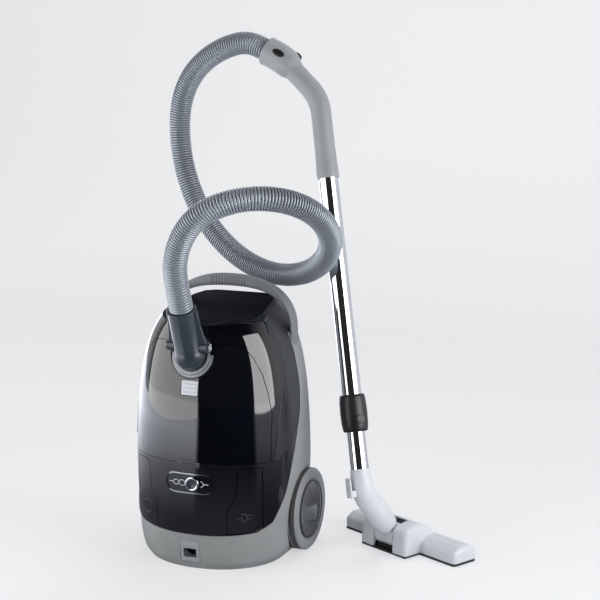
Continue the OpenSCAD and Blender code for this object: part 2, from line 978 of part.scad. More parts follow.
module power_pedal() {
    color("#16181d")
        pedal();
}

module rewind_pedal() {
    color("#16181d")
        mirror([1, 0, 0])
            pedal();
}

module pedal_springs() {
    color("#b5b9bd")
        for (s = [-1, 1])
            translate([s * pedal_x, post_y, pedal_z])
                rotate([90, 0, 0])
                    ring(pedal_stem_r + 2.5, pedal_stem_r + 0.5, 15);
}

module wheel_axles() {
    color("#b5b9bd")
        for (s = [-1, 1])
            translate([0, axle_y, axle_z])
                mirror([s < 0 ? 1 : 0, 0, 0]) {
                    bar_x(axle_r, pocket_x - wall - 4, wheel_face - 9);
                    bar_x(axle_r + 5, pocket_x - wall - 4, pocket_x - wall);
                }
}

module case_screws() {
    color("#a3a8ac")
        for (s = [-1, 1], z = SCREW_ROWS)
            translate([s * screw_x, 0, z]) {
                bar_y(screw_r, tub_back + 5, case_back);
                bar_y(screw_r + 2, case_back, case_back + 1.6);
            }
}

// Right-hand wheel and cap, about X from the wheel's inner face
module wheel() {
    w = wheel_w;
    translate([wheel_face - wheel_w, axle_y, axle_z])
        rotate([0, 90, 0])
            rotate_extrude($fn = 72)
                polygon([
                    [axle_r + fit, 0], [13, 0], [13, 9], [wheel_r - 16, 9], [wheel_r - 14, 2],
                    [wheel_r - 4, 0.5], [wheel_r - 1, 1.5], [wheel_r, 4], [wheel_r, w * 0.40],
                    [wheel_r - 2.5, w * 0.46], [wheel_r - 2.5, w * 0.54], [wheel_r, w * 0.60],
                    [wheel_r, w - 4], [wheel_r - 3, w - 1], [hub_r + 12, w], [hub_r + 4, w - 1.5],
                    [hub_r + seat, w - 4], [hub_r + seat, w - 8], [axle_r + fit, w - 8]
                ]);
}

module hub() {
    steps = 8;
    translate([wheel_face - wheel_w, axle_y, axle_z])
        rotate([0, 90, 0])
            rotate_extrude($fn = 72)
                polygon(concat([[0, wheel_w - 8], [hub_r, wheel_w - 8], [hub_r, wheel_w - 2.5]], [
                    for (i = [1 : steps])
                        let (r = hub_r * (1 - i / steps))
                        [r, wheel_w - 2 + 5 * (1 - (r / hub_r) ^ 2)]
                ]));
}

module wheel_right() {
    color("#2c2e31")
        wheel();
}

module wheel_left() {
    color("#2c2e31")
        mirror([1, 0, 0])
            wheel();
}

module hub_right() {
    color("#1b1d21")
        hub();
}

module hub_left() {
    color("#1b1d21")
        mirror([1, 0, 0])
            hub();
}

module caster_fork() {
    centre_z = caster_z - caster_trail;
    color("#3a3c3e")
        difference() {
            union() {
                translate([0, 0, caster_z]) {
                    bar_y(caster_stem_r, tub_back + 2, caster_well_y + 1);
                    bar_y(caster_well_r - 6, caster_well_y + slide_gap, caster_well_y + 3);
                }
                for (x = [-cheek_in - 3, cheek_in]) {
                    translate([x, caster_well_y + 2, centre_z - 6])
                        cube([3, caster_y - caster_well_y - 2, 20]);
                    translate([0, caster_y, centre_z])
                        bar_x(6, x, x + 3);
                }
            }
            translate([0, caster_y, centre_z])
                bar_x(2.5, -20, 20);
        }
}

module caster_wheel() {
    color("#2c2e31")
        translate([-caster_w / 2, caster_y, caster_z - caster_trail])
            rotate([0, 90, 0])
                rotate_extrude()
                    polygon([
                        [2.5 + fit, 0], [caster_r - 3, 0], [caster_r, 2.5], [caster_r, caster_w - 2.5],
                        [caster_r - 3, caster_w], [2.5 + fit, caster_w]
                    ]);
}

module caster_axle() {
    color("#b5b9bd")
        translate([0, caster_y, caster_z - caster_trail])
            bar_x(2.5, -cheek_in - 3, cheek_in + 3);
}

// ---- Dust cover ---------------------------------------------------------------------------

// Box of the latch's face, from in front of the case back to y1
module latch_area(gap, y1) {
    translate([-latch_w / 2 - gap, -case_front - 10, latch_z - latch_h / 2 - gap])
        cube([latch_w + 2 * gap, y1 + case_front + 10, latch_h + 2 * gap]);
}

// Knuckle about the cover's hinge, with a leaf that reaches up or down into the wall
module knuckle(x0, x1, reach) {
    translate([0, hinge_y, seam_z])
        difference() {
            union() {
                bar_x(knuckle_r, x0, x1);
                translate([x0, -knuckle_r, min(0, reach)])
                    cube([x1 - x0, knuckle_r, abs(reach)]);
            }
            bar_x(hinge_r + fit, x0 - 1, x1 + 1);
        }
}

module hinge_groove() {
    translate([0, hinge_y, seam_z])
        bar_x(knuckle_r + parting, -case_half_w, case_half_w);
}

module dust_cover() {
    floor_y = latch_y + 16;
    color("#16181d") {
        difference() {
            union() {
                intersection() {
                    case_skin(seam_z, cover_top);
                    cover_area(0);
                    translate([-200, -200, seam_z + parting / 2])
                        cube([400, 400, 300]);
                }
                intersection() {
                    case_form(wall / 2, seam_z, cover_top);
                    union() {
                        intersection() {
                            cover_area(0);
                            difference() {
                                tub_outline(0, -case_front, tub_front - seal_t - slide_gap);
                                tub_outline(wall, -case_front - 1, tub_front);
                            }
                        }
                        latch_area(wall, floor_y);
                    }
                }
            }
            latch_area(parting / 2, latch_y + 6);
            latch_area(0, floor_y - 2);
            at_inlet() {
                translate([0, 0, -40])
                    cylinder(r = collar_r + parting, h = 80);
                translate([-collar_r - parting, 0, -60])
                    cube([2 * (collar_r + parting), 80, 120]);
            }
            translate([0, 0, latch_z])
                bar_y(latch_stem_r + slide_gap, -case_front, 0);
            hinge_groove();
        }
        knuckle(-knuckle_half / 2 + parting / 2, knuckle_half / 2 - parting / 2, knuckle_r + 4);
    }
}

module hinge_pin() {
    color("#b5b9bd")
        translate([0, hinge_y, seam_z])
            bar_x(hinge_r, -knuckle_half, knuckle_half);
}

module cover_latch() {
    low = latch_z - latch_h / 2;
    color("#a9acae")
        intersection() {
            case_form(0, low, low + latch_h);
            union() {
                difference() {
                    latch_area(-slide_gap, latch_y + 10);
                    case_form(wall, low, low + latch_h);
                }
                translate([0, 0, latch_z])
                    bar_y(latch_stem_r, latch_y + 1, latch_y + 24);
            }
        }
}

module latch_spring() {
    color("#b5b9bd")
        translate([0, latch_y + 14, latch_z])
            rotate([90, 0, 0])
                ring(latch_stem_r + 2.5, latch_stem_r + 0.8, 6);
}

// ---- Elbow and hose -----------------------------------------------------------------------

module hose_elbow() {
    color("#4a505a")
        difference() {
            union() {
                intersection() {
                    union() {
                        translate(elbow_centre)
                            sphere(ball_r);
                        along_elbow()
                            cylinder(r = elbow_r, h = elbow_len);
                    }
                    at_inlet()
                        translate([-60, -60, elbow_lift - 14])
                            cube([120, 200, 200]);
                }
                along_elbow()
                    translate([0, 0, boss_up])
                        bar_x(boss_r, -boss_half, boss_half);
                at_inlet()
                    translate([0, 0, -sleeve_len - 6])
                        cylinder(r = spigot_r, h = sleeve_len + 4);
            }
            along_elbow() {
                for (s = [-1, 1])
                    translate([0, 0, boss_up])
                        bar_x(boss_r - 2 + slide_gap, s > 0 ? boss_half - 8 : -boss_half - 1,
                              s > 0 ? boss_half + 1 : -boss_half + 8);
                cylinder(r = airway_r, h = elbow_len + 1);
            }
            translate(elbow_centre)
                sphere(airway_r);
            at_inlet()
                translate([0, 0, -sleeve_len - 7])
                    cylinder(r = airway_r, h = sleeve_len + 7 + elbow_lift);
        }
}

module elbow_button_right() {
    color("#c3c6c8")
        along_elbow()
            translate([0, 0, boss_up])
                bar_x(boss_r - 2, boss_half - 4.5, boss_half + 2.5);
}

module elbow_button_left() {
    color("#c3c6c8")
        mirror([1, 0, 0])
            along_elbow()
                translate([0, 0, boss_up])
                    bar_x(boss_r - 2, boss_half - 4.5, boss_half + 2.5);
}

function unit(v) = v / norm(v);
function route_way(s) = unit(route_point(min(s + 0.01, route_spans)) - route_point(max(s - 0.01, 0)));
// Next side direction of the sweep: the last one with its part along the route taken away
function carried(side, way) = unit(side - way * (side * way));

// Route parameter against the distance along the route
ROUTE_TABLE = [
    for (i = 0, run = 0; i <= 400;
         i = i + 1,
         run = run + norm(route_point(min(i, 400) * route_spans / 400)
                          - route_point((i - 1) * route_spans / 400)))
        [run, i * route_spans / 400]
];
hose_length = ROUTE_TABLE[400][0];
function route_at(share) = lookup(share * hose_length, ROUTE_TABLE);

// Centres, directions and carried side directions at count + 1 even steps of the route
function route_frames(count) = [
    for (i = 0, s = 0, way = route_way(0), side = unit(cross(way, [1, 0, 0]));
         i <= count;
         i = i + 1, s = route_at(min(i / count, 1)), way = route_way(s), side = carried(side, way))
        [route_point(s), way, side]
];
function hose_ring(f, r) =
    [for (k = [0 : 7]) f[0] + r * (cos(45 * k) * f[2] + sin(45 * k) * cross(f[1], f[2]))];

// Tube with a crest and a valley for each rib, and a smooth bore
module ribbed_tube() {
    frames = route_frames(2 * hose_ribs);
    n = len(frames);
    skin = [for (i = [0 : n - 1]) hose_ring(frames[i], i % 2 == 0 ? hose_r : hose_r - rib_depth)];
    bore = [for (i = [0 : bore_step : n - 1]) hose_ring(frames[i], hose_bore_r)];
    m = len(bore);
    first = 8 * n;
    function wall_faces(from, count, out) = [
        for (i = [0 : count - 2]) for (k = [0 : 7])
            let (a = from + 8 * i + k, b = from + 8 * i + (k + 1) % 8, c = a + 8, d = b + 8)
            each (out ? [[a, d, b], [a, c, d]] : [[a, b, d], [a, d, c]])
    ];
    function end_faces(o, i, out) = [
        for (k = [0 : 7])
            let (a = o + k, b = o + (k + 1) % 8, c = i + k, d = i + (k + 1) % 8)
            each (out ? [[a, b, d], [a, d, c]] : [[a, d, b], [a, c, d]])
    ];
    polyhedron(
        concat([for (r = skin) each r], [for (r = bore) each r]),
        concat(wall_faces(0, n, true), wall_faces(first, m, false),
               end_faces(0, first, true), end_faces(8 * (n - 1), first + 8 * (m - 1), false))
    );
}

// Gaps between stretches of the hose that lie more than 4 diameters apart along it
function route_gaps() =
    let (p = [for (i = [0 : 160]) route_point(route_at(i / 160))])
    let (skip = ceil(8 * hose_r / hose_length * 160))
    [for (i = [0 : 160 - skip]) for (j = [i + skip : 160]) norm(p[i] - p[j]) - 2 * hose_r];
echo(hose_length = hose_length, least_gap = min(route_gaps()));

module hose() {
    color("#8e96a3")
        ribbed_tube();
}

module hose_cuff() {
    color("#3a3c3e")
        on_socket()
            translate([0, 0, socket_len - hose_run - cuff_len])
                ring(hose_r, hose_bore_r, cuff_len);
}

// ---- Grip and wand ------------------------------------------------------------------------

// Round bar along the grip's axis with two mitred corners; the bar between them is wider by swell
module grip_bars(r, from, to, swell) {
    short = grip_bend_r * tan(grip_bend / 2);
    corner = (r + swell) * tan(grip_bend / 4);
    on_grip() {
        translate([0, 0, from])
            cylinder(r = r, h = grip_rise - short - from + corner / 2);
        translate([0, 0, grip_rise - short])
            rotate([0, grip_bend / 2, 0])
                translate([0, 0, -corner])
                    cylinder(r = r + swell, h = 2 * short * cos(grip_bend / 2) + 2 * corner);
        translate([0, 0, grip_rise])
            rotate([0, grip_bend, 0])
                translate([0, 0, short - corner / 2])
                    cylinder(r = r, h = to - short + corner / 2);
    }
}

module grip_handle() {
    color("#8b8d8f")
        difference() {
            union() {
                grip_bars(grip_r, 0, neck_len, 0.5);
                on_socket() {
                    translate([0, 0, -socket_back])
                        cylinder(r = socket_r, h = socket_back + socket_len);
                    translate([0, 0, -socket_back - 6])
                        cylinder(r1 = grip_r - 2, r2 = socket_r - 0.5, h = 7);
                }
            }
            on_grip()
                translate([0, 0, -1])
                    cylinder(r = upper_r + fit, h = sleeve_in + 1);
            on_socket() {
                translate([0, 0, socket_len - hose_run - cuff_len - slide_gap])
                    cylinder(r = hose_r + slide_gap, h = 80);
                translate([0, 0, -socket_back - 8])
                    cylinder(r = airway_r + 0.5, h = 30);
                rotate(relief_turn) {
                    translate([socket_r - 3, -2, -socket_back + 1])
                        cube([10, 4, socket_back + 14]);
                    translate([0, 0, -socket_back + 5])
                        bar_x(2.5, airway_r - 3, socket_r + 5);
                }
            }
            grip_bars(airway_r, sleeve_in - 1, neck_len, 0.3);
        }
}

module relief_slider() {
    color("#3a3c3e")
        on_socket()
            rotate(relief_turn) {
                difference() {
                    translate([socket_r - 8, -10, -socket_back])
                        cube([11.5, 20, 18]);
                    translate([0, 0, -socket_back - 1])
                        cylinder(r = socket_r + slide_gap, h = 20);
                }
                translate([socket_r - 2.4, -2 + slide_gap, -socket_back + 12])
                    cube([4, 4 - 2 * slide_gap, 4]);
            }
}

module upper_tube() {
    color("#d2d5d8")
        on_wand()
            translate([0, 0, upper_from])
                ring(upper_r, upper_r - tube_wall, sleeve_from + sleeve_in - upper_from);
}

module lower_tube() {
    color("#d2d5d8")
        on_wand()
            translate([0, 0, tube_seat])
                ring(lower_r, lower_r - tube_wall, lower_to - tube_seat);
}

module lock_collar() {
    color("#1d1e20")
        on_wand()
            difference() {
                union() {
                    translate([0, 0, lock_from])
                        cylinder(r = lock_r - 2, h = lock_len);
                    translate([0, 0, lock_from + 6])
                        cylinder(r = lock_r, h = lock_len - 12);
                }
                translate([0, 0, lock_from - 1])
                    cylinder(r = lower_r + 0.08, h = lock_len + 2);
                translate([0, 0, upper_from])
                    cylinder(r = upper_r + fit, h = lock_len);
                translate([0, 0, lock_from + lock_button_up])
                    bar_x(8 + slide_gap, -lock_r - 1, -lower_r - 1.1);
            }
}

module lock_button() {
    color("#3a3c3e")
        on_wand()
            translate([0, 0, lock_from + lock_button_up])
                bar_x(8, -lock_r - 2, -lower_r - 4.5);
}

// ---- Floor head ---------------------------------------------------------------------------

module neck_elbow() {
    corner = neck_r * tan(neck_angle / 2);
    color("#2a2c2f")
        difference() {
            union() {
                on_neck()
                    translate([0, 0, neck_from])
                        cylinder(r = neck_r, h = neck_lower - neck_from + corner);
                on_wand() {
                    translate([0, 0, -corner])
                        cylinder(r = neck_r - 0.6, h = neck_sleeve + corner);
                    translate([-8, neck_r - 3, -8])
                        cube([16, 9, 10]);
                    translate([-8, neck_r + 2, -8])
                        cube([16, 4, 34]);
                }
            }
            on_wand()
                translate([0, 0, tube_seat])
                    cylinder(r = lower_r + fit, h = neck_sleeve);
            on_neck() {
                translate([0, 0, neck_from - 1])
                    cylinder(r = spigot_yoke_r + 0.08, h = yoke_top + slide_gap - neck_from + 1);
                translate([0, 0, neck_from])
                    cylinder(r = neck_bore_r, h = neck_lower - neck_from + neck_bore_r * tan(neck_angle / 2));
            }
            on_wand()
                translate([0, 0, -neck_bore_r * tan(neck_angle / 2)])
                    cylinder(r = neck_bore_r - 0.4, h = neck_sleeve);
        }
}

module neck_yoke() {
    color("#5b5f63")
        difference() {
            union() {
                on_head()
                    translate([0, 0, pivot_z]) {
                        bar_x(yoke_r, -slot_w / 2 + 1.5, slot_w / 2 - 1.5);
                        bar_x(yoke_pin_r, -slot_w / 2 - 5, slot_w / 2 + 5);
                    }
                on_neck()
                    cylinder(r = spigot_yoke_r, h = yoke_top);
            }
            on_head()
                translate([0, 0, pivot_z])
                    bar_x(yoke_r - 3.5, -slot_w / 2 + 5, slot_w / 2 - 5);
            on_neck()
                cylinder(r = neck_bore_r, h = yoke_top + 1);
            on_head()
                translate([-slot_w / 2 + 5, 0, pivot_z - 10])
                    cube([slot_w - 10, 30, 18]);
        }
}

// Wings and hood of the head, drawn in by inset
module head_form(inset) {
    hull()
        for (s = [-1, 1], p = [[wing_back + 8, 8], [wing_back + wing_d - 9, 9]])
            translate([s * (head_w / 2 - p[1]), p[0], 0]) {
                translate([0, 0, sole_top])
                    cylinder(r = p[1] - inset, h = wing_h - sole_top - 12, $fn = 32);
                translate([0, 0, wing_h - 14])
                    sphere(p[1] - inset, $fn = 32);
                translate([0, (wing_back + wing_d / 2 - p[0]) * 0.5, wing_h - 9])
                    sphere(9 - inset, $fn = 32);
            }
    hull()
        for (s = [-1, 1]) {
            for (y = [hood_back + 6, hood_front - 6])
                translate([s * (hood_w / 2 - 6), y, sole_top])
                    cylinder(r = 6 - inset, h = 10, $fn = 32);
            translate([s * (hood_w / 2 - 9), hood_back + 12, hood_h - 14])
                sphere(9 - inset, $fn = 32);
            translate([s * (hood_w / 2 - 16), 12, hood_h - 14])
                sphere(14 - inset, $fn = 32);
            translate([s * (hood_w / 2 - 12), hood_front - 16, wing_h + 4])
                sphere(8 - inset, $fn = 32);
        }
}

module head_shell() {
    color("#c3c8d0")
        on_head()
            difference() {
                union() {
                    difference() {
                        head_form(0);
                        difference() {
                            head_form(wall);
                            for (s = [-1, 1])
                                translate([s * (slot_w / 2 + 4) - 4, -60, 0])
                                    cube([8, 140, 80]);
                        }
                        translate([-head_w / 2, -60, -10])
                            cube([head_w, 200, sole_top + 10]);
                    }
                }
                translate([-slot_w / 2, hood_back - 20, -1])
                    cube([slot_w, 25 - hood_back + 20, 90]);
                translate([0, 0, pivot_z])
                    bar_x(yoke_pin_r + fit, -slot_w / 2 - 6, slot_w / 2 + 6);
                for (s = [-1, 1])
                    translate([s * roller_x - 8, roller_y - 10, -1])
                        cube([16, 20, roller_r * 2 + 4]);
                translate([-roller_x - 13, roller_y - 5, -1])
                    cube([2 * roller_x + 26, 10, roller_r + 6]);
            }
}

module sole_plate() {
    color("#5c6064")
        on_head()
            difference() {
                union() {
                    hull()
                        for (s = [-1, 1], p = [[wing_back + 8, 8], [wing_back + wing_d - 9, 9]])
                            translate([s * (head_w / 2 - p[1]), p[0], sole_z])
                                cylinder(r = p[1], h = sole_top - sole_z, $fn = 32);
                    translate([-hood_w / 2 + 2, hood_back + 2, sole_z])
                        cube([hood_w - 4, wing_back - hood_back + 6, sole_top - sole_z]);
                    for (s = [-1, 1])
                        translate([s * (roller_x + 10) - 2, roller_y - 4, sole_z])
                            cube([4, 8, roller_r + 3]);
                }
                translate([-head_w / 2 + 22, wing_back + 10, sole_z - 1])
                    cube([head_w - 44, mouth_d, 10]);
                for (s = [-1, 1])
                    translate([s * roller_x - 7, roller_y - roller_r - 1, sole_z - 1])
                        cube([14, 2 * roller_r + 2, 10]);
                translate([0, roller_y, roller_r + floor_gap])
                    bar_x(2 + fit, -60, 60);
            }
}

module head_rollers() {
    color("#2c2e31")
        on_head()
            translate([0, roller_y, roller_r + floor_gap]) {
                bar_x(2, -roller_x - 12, roller_x + 12);
                for (s = [-1, 1])
                    bar_x(roller_r, s * roller_x - 5, s * roller_x + 5);
            }
}

base_shell();
upper_shell();
rear_panel();
carry_handle();
inlet_collar();
bag_chamber();
bag_holder();
dust_bag();
motor_filter();
motor_case();
motor_stator();
motor_mounts();
control_board();
reel_frame();
reel_spring();
exhaust_filter();
exhaust_grille();
cord_outlet();
chamber_seal();
slider_guide();
wheel_axles();
case_screws();
hinge_pin();
pedal_springs();
hose();
hose_cuff();
wheel_left();
wheel_right();
hub_left();
hub_right();
caster_fork();
caster_wheel();
caster_axle();
dust_cover();
cover_latch();
latch_spring();
power_pedal();
rewind_pedal();
power_slider();
motor_rotor();
impeller();
reel_drum();
hose_elbow();
elbow_button_left();
elbow_button_right();
grip_handle();
relief_slider();
upper_tube();
lock_collar();
lock_button();
lower_tube();
neck_elbow();
neck_yoke();
head_shell();
sole_plate();
head_rollers();
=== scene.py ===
"""Canister vacuum cleaner parked on its rear end, with its hose, grip, wand and floor head."""
import json
import math

import bmesh
import bpy
import numpy as np
from mathutils import Matrix, Vector

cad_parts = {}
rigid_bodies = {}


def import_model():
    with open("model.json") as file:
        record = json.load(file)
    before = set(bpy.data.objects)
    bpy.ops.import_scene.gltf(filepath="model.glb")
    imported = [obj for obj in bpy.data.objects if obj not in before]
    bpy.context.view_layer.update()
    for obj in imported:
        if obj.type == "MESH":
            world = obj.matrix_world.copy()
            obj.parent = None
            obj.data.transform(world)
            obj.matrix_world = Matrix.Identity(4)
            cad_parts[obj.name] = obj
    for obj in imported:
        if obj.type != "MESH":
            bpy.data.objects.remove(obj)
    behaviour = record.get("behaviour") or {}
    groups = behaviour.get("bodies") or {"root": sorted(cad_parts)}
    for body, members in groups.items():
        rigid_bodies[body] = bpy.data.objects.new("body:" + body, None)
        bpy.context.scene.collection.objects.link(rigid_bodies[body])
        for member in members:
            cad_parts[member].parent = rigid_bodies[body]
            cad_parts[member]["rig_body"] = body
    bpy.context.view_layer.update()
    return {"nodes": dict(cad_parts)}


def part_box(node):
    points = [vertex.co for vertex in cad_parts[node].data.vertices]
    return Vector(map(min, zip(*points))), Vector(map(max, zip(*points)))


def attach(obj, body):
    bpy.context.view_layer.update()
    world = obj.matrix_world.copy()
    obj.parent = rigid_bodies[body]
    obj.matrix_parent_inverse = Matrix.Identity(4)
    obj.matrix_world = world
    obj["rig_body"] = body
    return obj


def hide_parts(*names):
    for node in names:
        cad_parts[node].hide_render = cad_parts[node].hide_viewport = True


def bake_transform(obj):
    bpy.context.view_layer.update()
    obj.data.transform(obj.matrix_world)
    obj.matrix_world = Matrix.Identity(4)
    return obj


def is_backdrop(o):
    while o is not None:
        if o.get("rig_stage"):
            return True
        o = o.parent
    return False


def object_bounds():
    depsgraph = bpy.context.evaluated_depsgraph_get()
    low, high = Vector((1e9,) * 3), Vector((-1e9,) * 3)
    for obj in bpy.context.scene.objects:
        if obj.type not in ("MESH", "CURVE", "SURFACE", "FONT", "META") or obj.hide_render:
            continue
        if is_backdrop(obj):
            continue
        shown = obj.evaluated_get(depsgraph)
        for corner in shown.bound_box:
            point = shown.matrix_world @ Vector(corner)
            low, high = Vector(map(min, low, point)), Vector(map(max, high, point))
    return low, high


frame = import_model()
NODES = frame["nodes"]
MM = 0.001

# ---- Camera ------------------------------------------------------------------------------

PITCH = math.radians(10.1)
lens_data = bpy.data.cameras.new("camera")
lens_data.lens = 90
lens_data.sensor_width = 36
lens_data.clip_end = 40
camera = bpy.data.objects.new("camera", lens_data)
bpy.context.scene.collection.objects.link(camera)
camera.location = (1.112, -2.356, 0.920)
aim = Vector((-0.375 * math.cos(PITCH), 0.927 * math.cos(PITCH), -math.sin(PITCH)))
camera.rotation_euler = aim.to_track_quat("-Z", "Y").to_euler()
bpy.context.scene.camera = camera
bpy.context.scene.view_settings.view_transform = "Standard"

# ---- Places, in metres, as in the solid model ---------------------------------------------

CASE_HALF_W, CASE_FRONT, CASE_BACK = 0.147, 0.120, 0.116
CASE_REACHES = ((1, CASE_HALF_W), (2, CASE_FRONT), (3, CASE_BACK))
ROUND_FRONT, ROUND_BACK = 2.1, 7.0
CASE_SIDES = 36
# Height, then the shares of the half width, the front reach and the back reach
CASE_SECTIONS = np.array([
    [0, 0.84, 0.91, 0.93], [14, 0.91, 0.965, 0.98], [42, 0.955, 0.99, 1], [95, 0.985, 1, 1],
    [180, 1, 1, 1], [245, 0.985, 0.985, 1], [300, 0.955, 0.955, 1], [340, 0.915, 0.91, 1],
    [372, 0.865, 0.87, 1], [402, 0.79, 0.82, 1], [430, 0.675, 0.74, 0.97],
    [448, 0.56, 0.62, 0.93], [470, 0.38, 0.42, 0.82],
])

INLET = Vector((0, -98, 377)) * MM
INLET_TILT = math.radians(20)
ELBOW_LEAN = math.radians(20)
INLET_OUT = Vector((0, -math.cos(INLET_TILT), math.sin(INLET_TILT)))
ELBOW_OUT = Vector((0, -math.sin(ELBOW_LEAN), math.cos(ELBOW_LEAN)))
ELBOW_CENTRE = INLET + INLET_OUT * 0.010
ELBOW_LEN = 0.088
HOSE_START = ELBOW_CENTRE + ELBOW_OUT * ELBOW_LEN
HEAD_YAW = math.radians(-27.5)
NECK_LEAN = math.radians(38.5)
NECK_LOWER = 0.119
PIVOT_Z = 0.030
HEAD_AT = Vector((0.293, 0.112, 0))
HEAD_FRAME = Matrix.Translation(HEAD_AT) @ Matrix.Rotation(HEAD_YAW, 4, "Z")
NECK_FRAME = HEAD_FRAME @ Matrix.Translation((0, 0, PIVOT_Z)) @ Matrix.Rotation(NECK_LEAN, 4, "X")
NECK_BEND = NECK_FRAME @ Vector((0, 0, NECK_LOWER))
WAND_FRAME = (Matrix.Translation(NECK_BEND) @ Matrix.Rotation(math.radians(137), 4, "Z")
              @ Matrix.Rotation(math.radians(14.6), 4, "Y"))
SLEEVE_FROM, GRIP_RISE, NECK_LEN, SOCKET_LEN = 0.559, 0.145, 0.100, 0.036
GRIP_BEND, SOCKET_BEND = math.radians(36.4), math.radians(17.2)
GRIP_FRAME = (WAND_FRAME @ Matrix.Translation((0, 0, SLEEVE_FROM))
              @ Matrix.Rotation(math.radians(48.6), 4, "Z"))
SOCKET_FRAME = (GRIP_FRAME @ Matrix.Translation((0, 0, GRIP_RISE)) @ Matrix.Rotation(GRIP_BEND, 4, "Y")
                @ Matrix.Translation((0, 0, NECK_LEN)) @ Matrix.Rotation(SOCKET_BEND, 4, "Y"))
ELBOW_FRAME = Matrix.Translation(ELBOW_CENTRE) @ Matrix.Rotation(ELBOW_LEAN, 4, "X")
INLET_FRAME = Matrix.Translation(INLET) @ Matrix.Rotation(math.pi / 2 - INLET_TILT, 4, "X")

HOSE_R, RIB_DEPTH, HOSE_RUN = 0.0205, 0.0022, 0.041
SOCKET_AT = SOCKET_FRAME.to_translation()
SOCKET_OUT = (SOCKET_FRAME.to_3x3() @ Vector((0, 0, 1))).normalized()
HOSE_END = SOCKET_AT + SOCKET_OUT * (SOCKET_LEN - HOSE_RUN)
HOSE_ROUTE = [HOSE_START + ELBOW_OUT * HOSE_RUN * k for k in range(-1, 3)]
HOSE_ROUTE += [Vector(p) * MM for p in (
    (20, -178, 592), (58, -190, 632), (112, -183, 656), (165, -155, 661), (205, -105, 645),
    (222, -50, 614), (216, 5, 575), (192, 50, 538), (150, 90, 506), (100, 122, 488),
    (45, 150, 483), (-10, 175, 493), (-65, 195, 518), (-115, 210, 560), (-150, 220, 610),
    (-172, 225, 665), (-180, 223, 725), (-175, 217, 785), (-150, 207, 837), (-108, 195, 874),
    (-60, 183, 896),
)]
HOSE_ROUTE += [HOSE_END + SOCKET_OUT * HOSE_RUN * k for k in (2, 1, 0, -1)]


# ---- Small tools --------------------------------------------------------------------------

def srgb(code):
    """Linear colour of an sRGB hex code."""
    parts = [int(code[i:i + 2], 16) / 255 for i in (1, 3, 5)]
    return [c / 12.92 if c <= 0.04045 else ((c + 0.055) / 1.055) ** 2.4 for c in parts] + [1.0]


def only(piece):
    """Selects one piece and makes it the active one."""
    bpy.ops.object.select_all(action="DESELECT")
    piece.select_set(True)
    bpy.context.view_layer.objects.active = piece


def settle(piece):
    """Puts a piece's place into its mesh."""
    only(piece)
    bpy.ops.object.transform_apply(location=True, rotation=True, scale=True)
    return piece


def apply_modifier(piece, kind, **settings):
    only(piece)
    modifier = piece.modifiers.new(kind.lower(), kind)
    for key, value in settings.items():
        setattr(modifier, key, value)
    bpy.ops.object.modifier_apply(modifier=modifier.name)
    return piece


def whole_mesh(piece, *steps):
    """Runs mesh operators, each with its settings, on all of a piece."""
    only(piece)
    bpy.ops.object.mode_set(mode="EDIT")
    bpy.ops.mesh.select_all(action="SELECT")
    for operator, settings in steps:
        operator(**settings)
    bpy.ops.object.mode_set(mode="OBJECT")
    return piece


def outwards(piece):
    """Merges doubles and turns every face outwards."""
    return whole_mesh(piece, (bpy.ops.mesh.remove_doubles, {"threshold": 0.00002}),
                      (bpy.ops.mesh.normals_make_consistent, {"inside": False}))


def primitive(name, add, **settings):
    """A new piece from one of the mesh operators that add a form."""
    bpy.ops.object.select_all(action="DESELECT")
    add(**settings)
    piece = bpy.context.active_object
    piece.name = name
    return piece


def joined(pieces, name):
    """Joins pieces into the first of them."""
    only(pieces[0])
    for piece in pieces:
        piece.select_set(True)
    bpy.ops.object.join()
    pieces[0].name = name
    return pieces[0]


def smoothed(piece, degrees=35):
    only(piece)
    bpy.ops.object.shade_smooth_by_angle(angle=math.radians(degrees))
    return piece


def dressed(piece, material, node, replaced=(), body=None):
    """Gives a finished piece its material, and a solid's material slot and body."""
    piece.data.materials.clear()
    piece.data.materials.append(material)
    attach(piece, body or NODES[node]["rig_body"])
    if replaced:
        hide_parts(*replaced)
    return piece


def copied(node, name):
    """A merged copy of a solid's mesh, free of its slots."""
    mesh = NODES[node].data.copy()
    mesh.materials.clear()
    if "custom_normal" in mesh.attributes:
        mesh.attributes.remove(mesh.attributes["custom_normal"])
    piece = bpy.data.objects.new(name, mesh)
    bpy.context.scene.collection.objects.link(piece)
    return whole_mesh(piece, (bpy.ops.mesh.remove_doubles, {"threshold": 0.00001}))


def refined(node, material, bevel=0.0):
    """A smoothed copy of a solid, with its sharp edges broken, that stands for the solid."""
    piece = copied(node, node + "_fine")
    whole_mesh(piece, (bpy.ops.mesh.dissolve_limited, {"angle_limit": math.radians(0.6)}))
    if bevel:
        apply_modifier(piece, "BEVEL", width=bevel, segments=2, limit_method="ANGLE",
                       angle_limit=math.radians(40), miter_outer="MITER_ARC", harden_normals=False)
    smoothed(piece, 32)
    return dressed(piece, material, node, [node])


# ---- The case's outer form ----------------------------------------------------------------

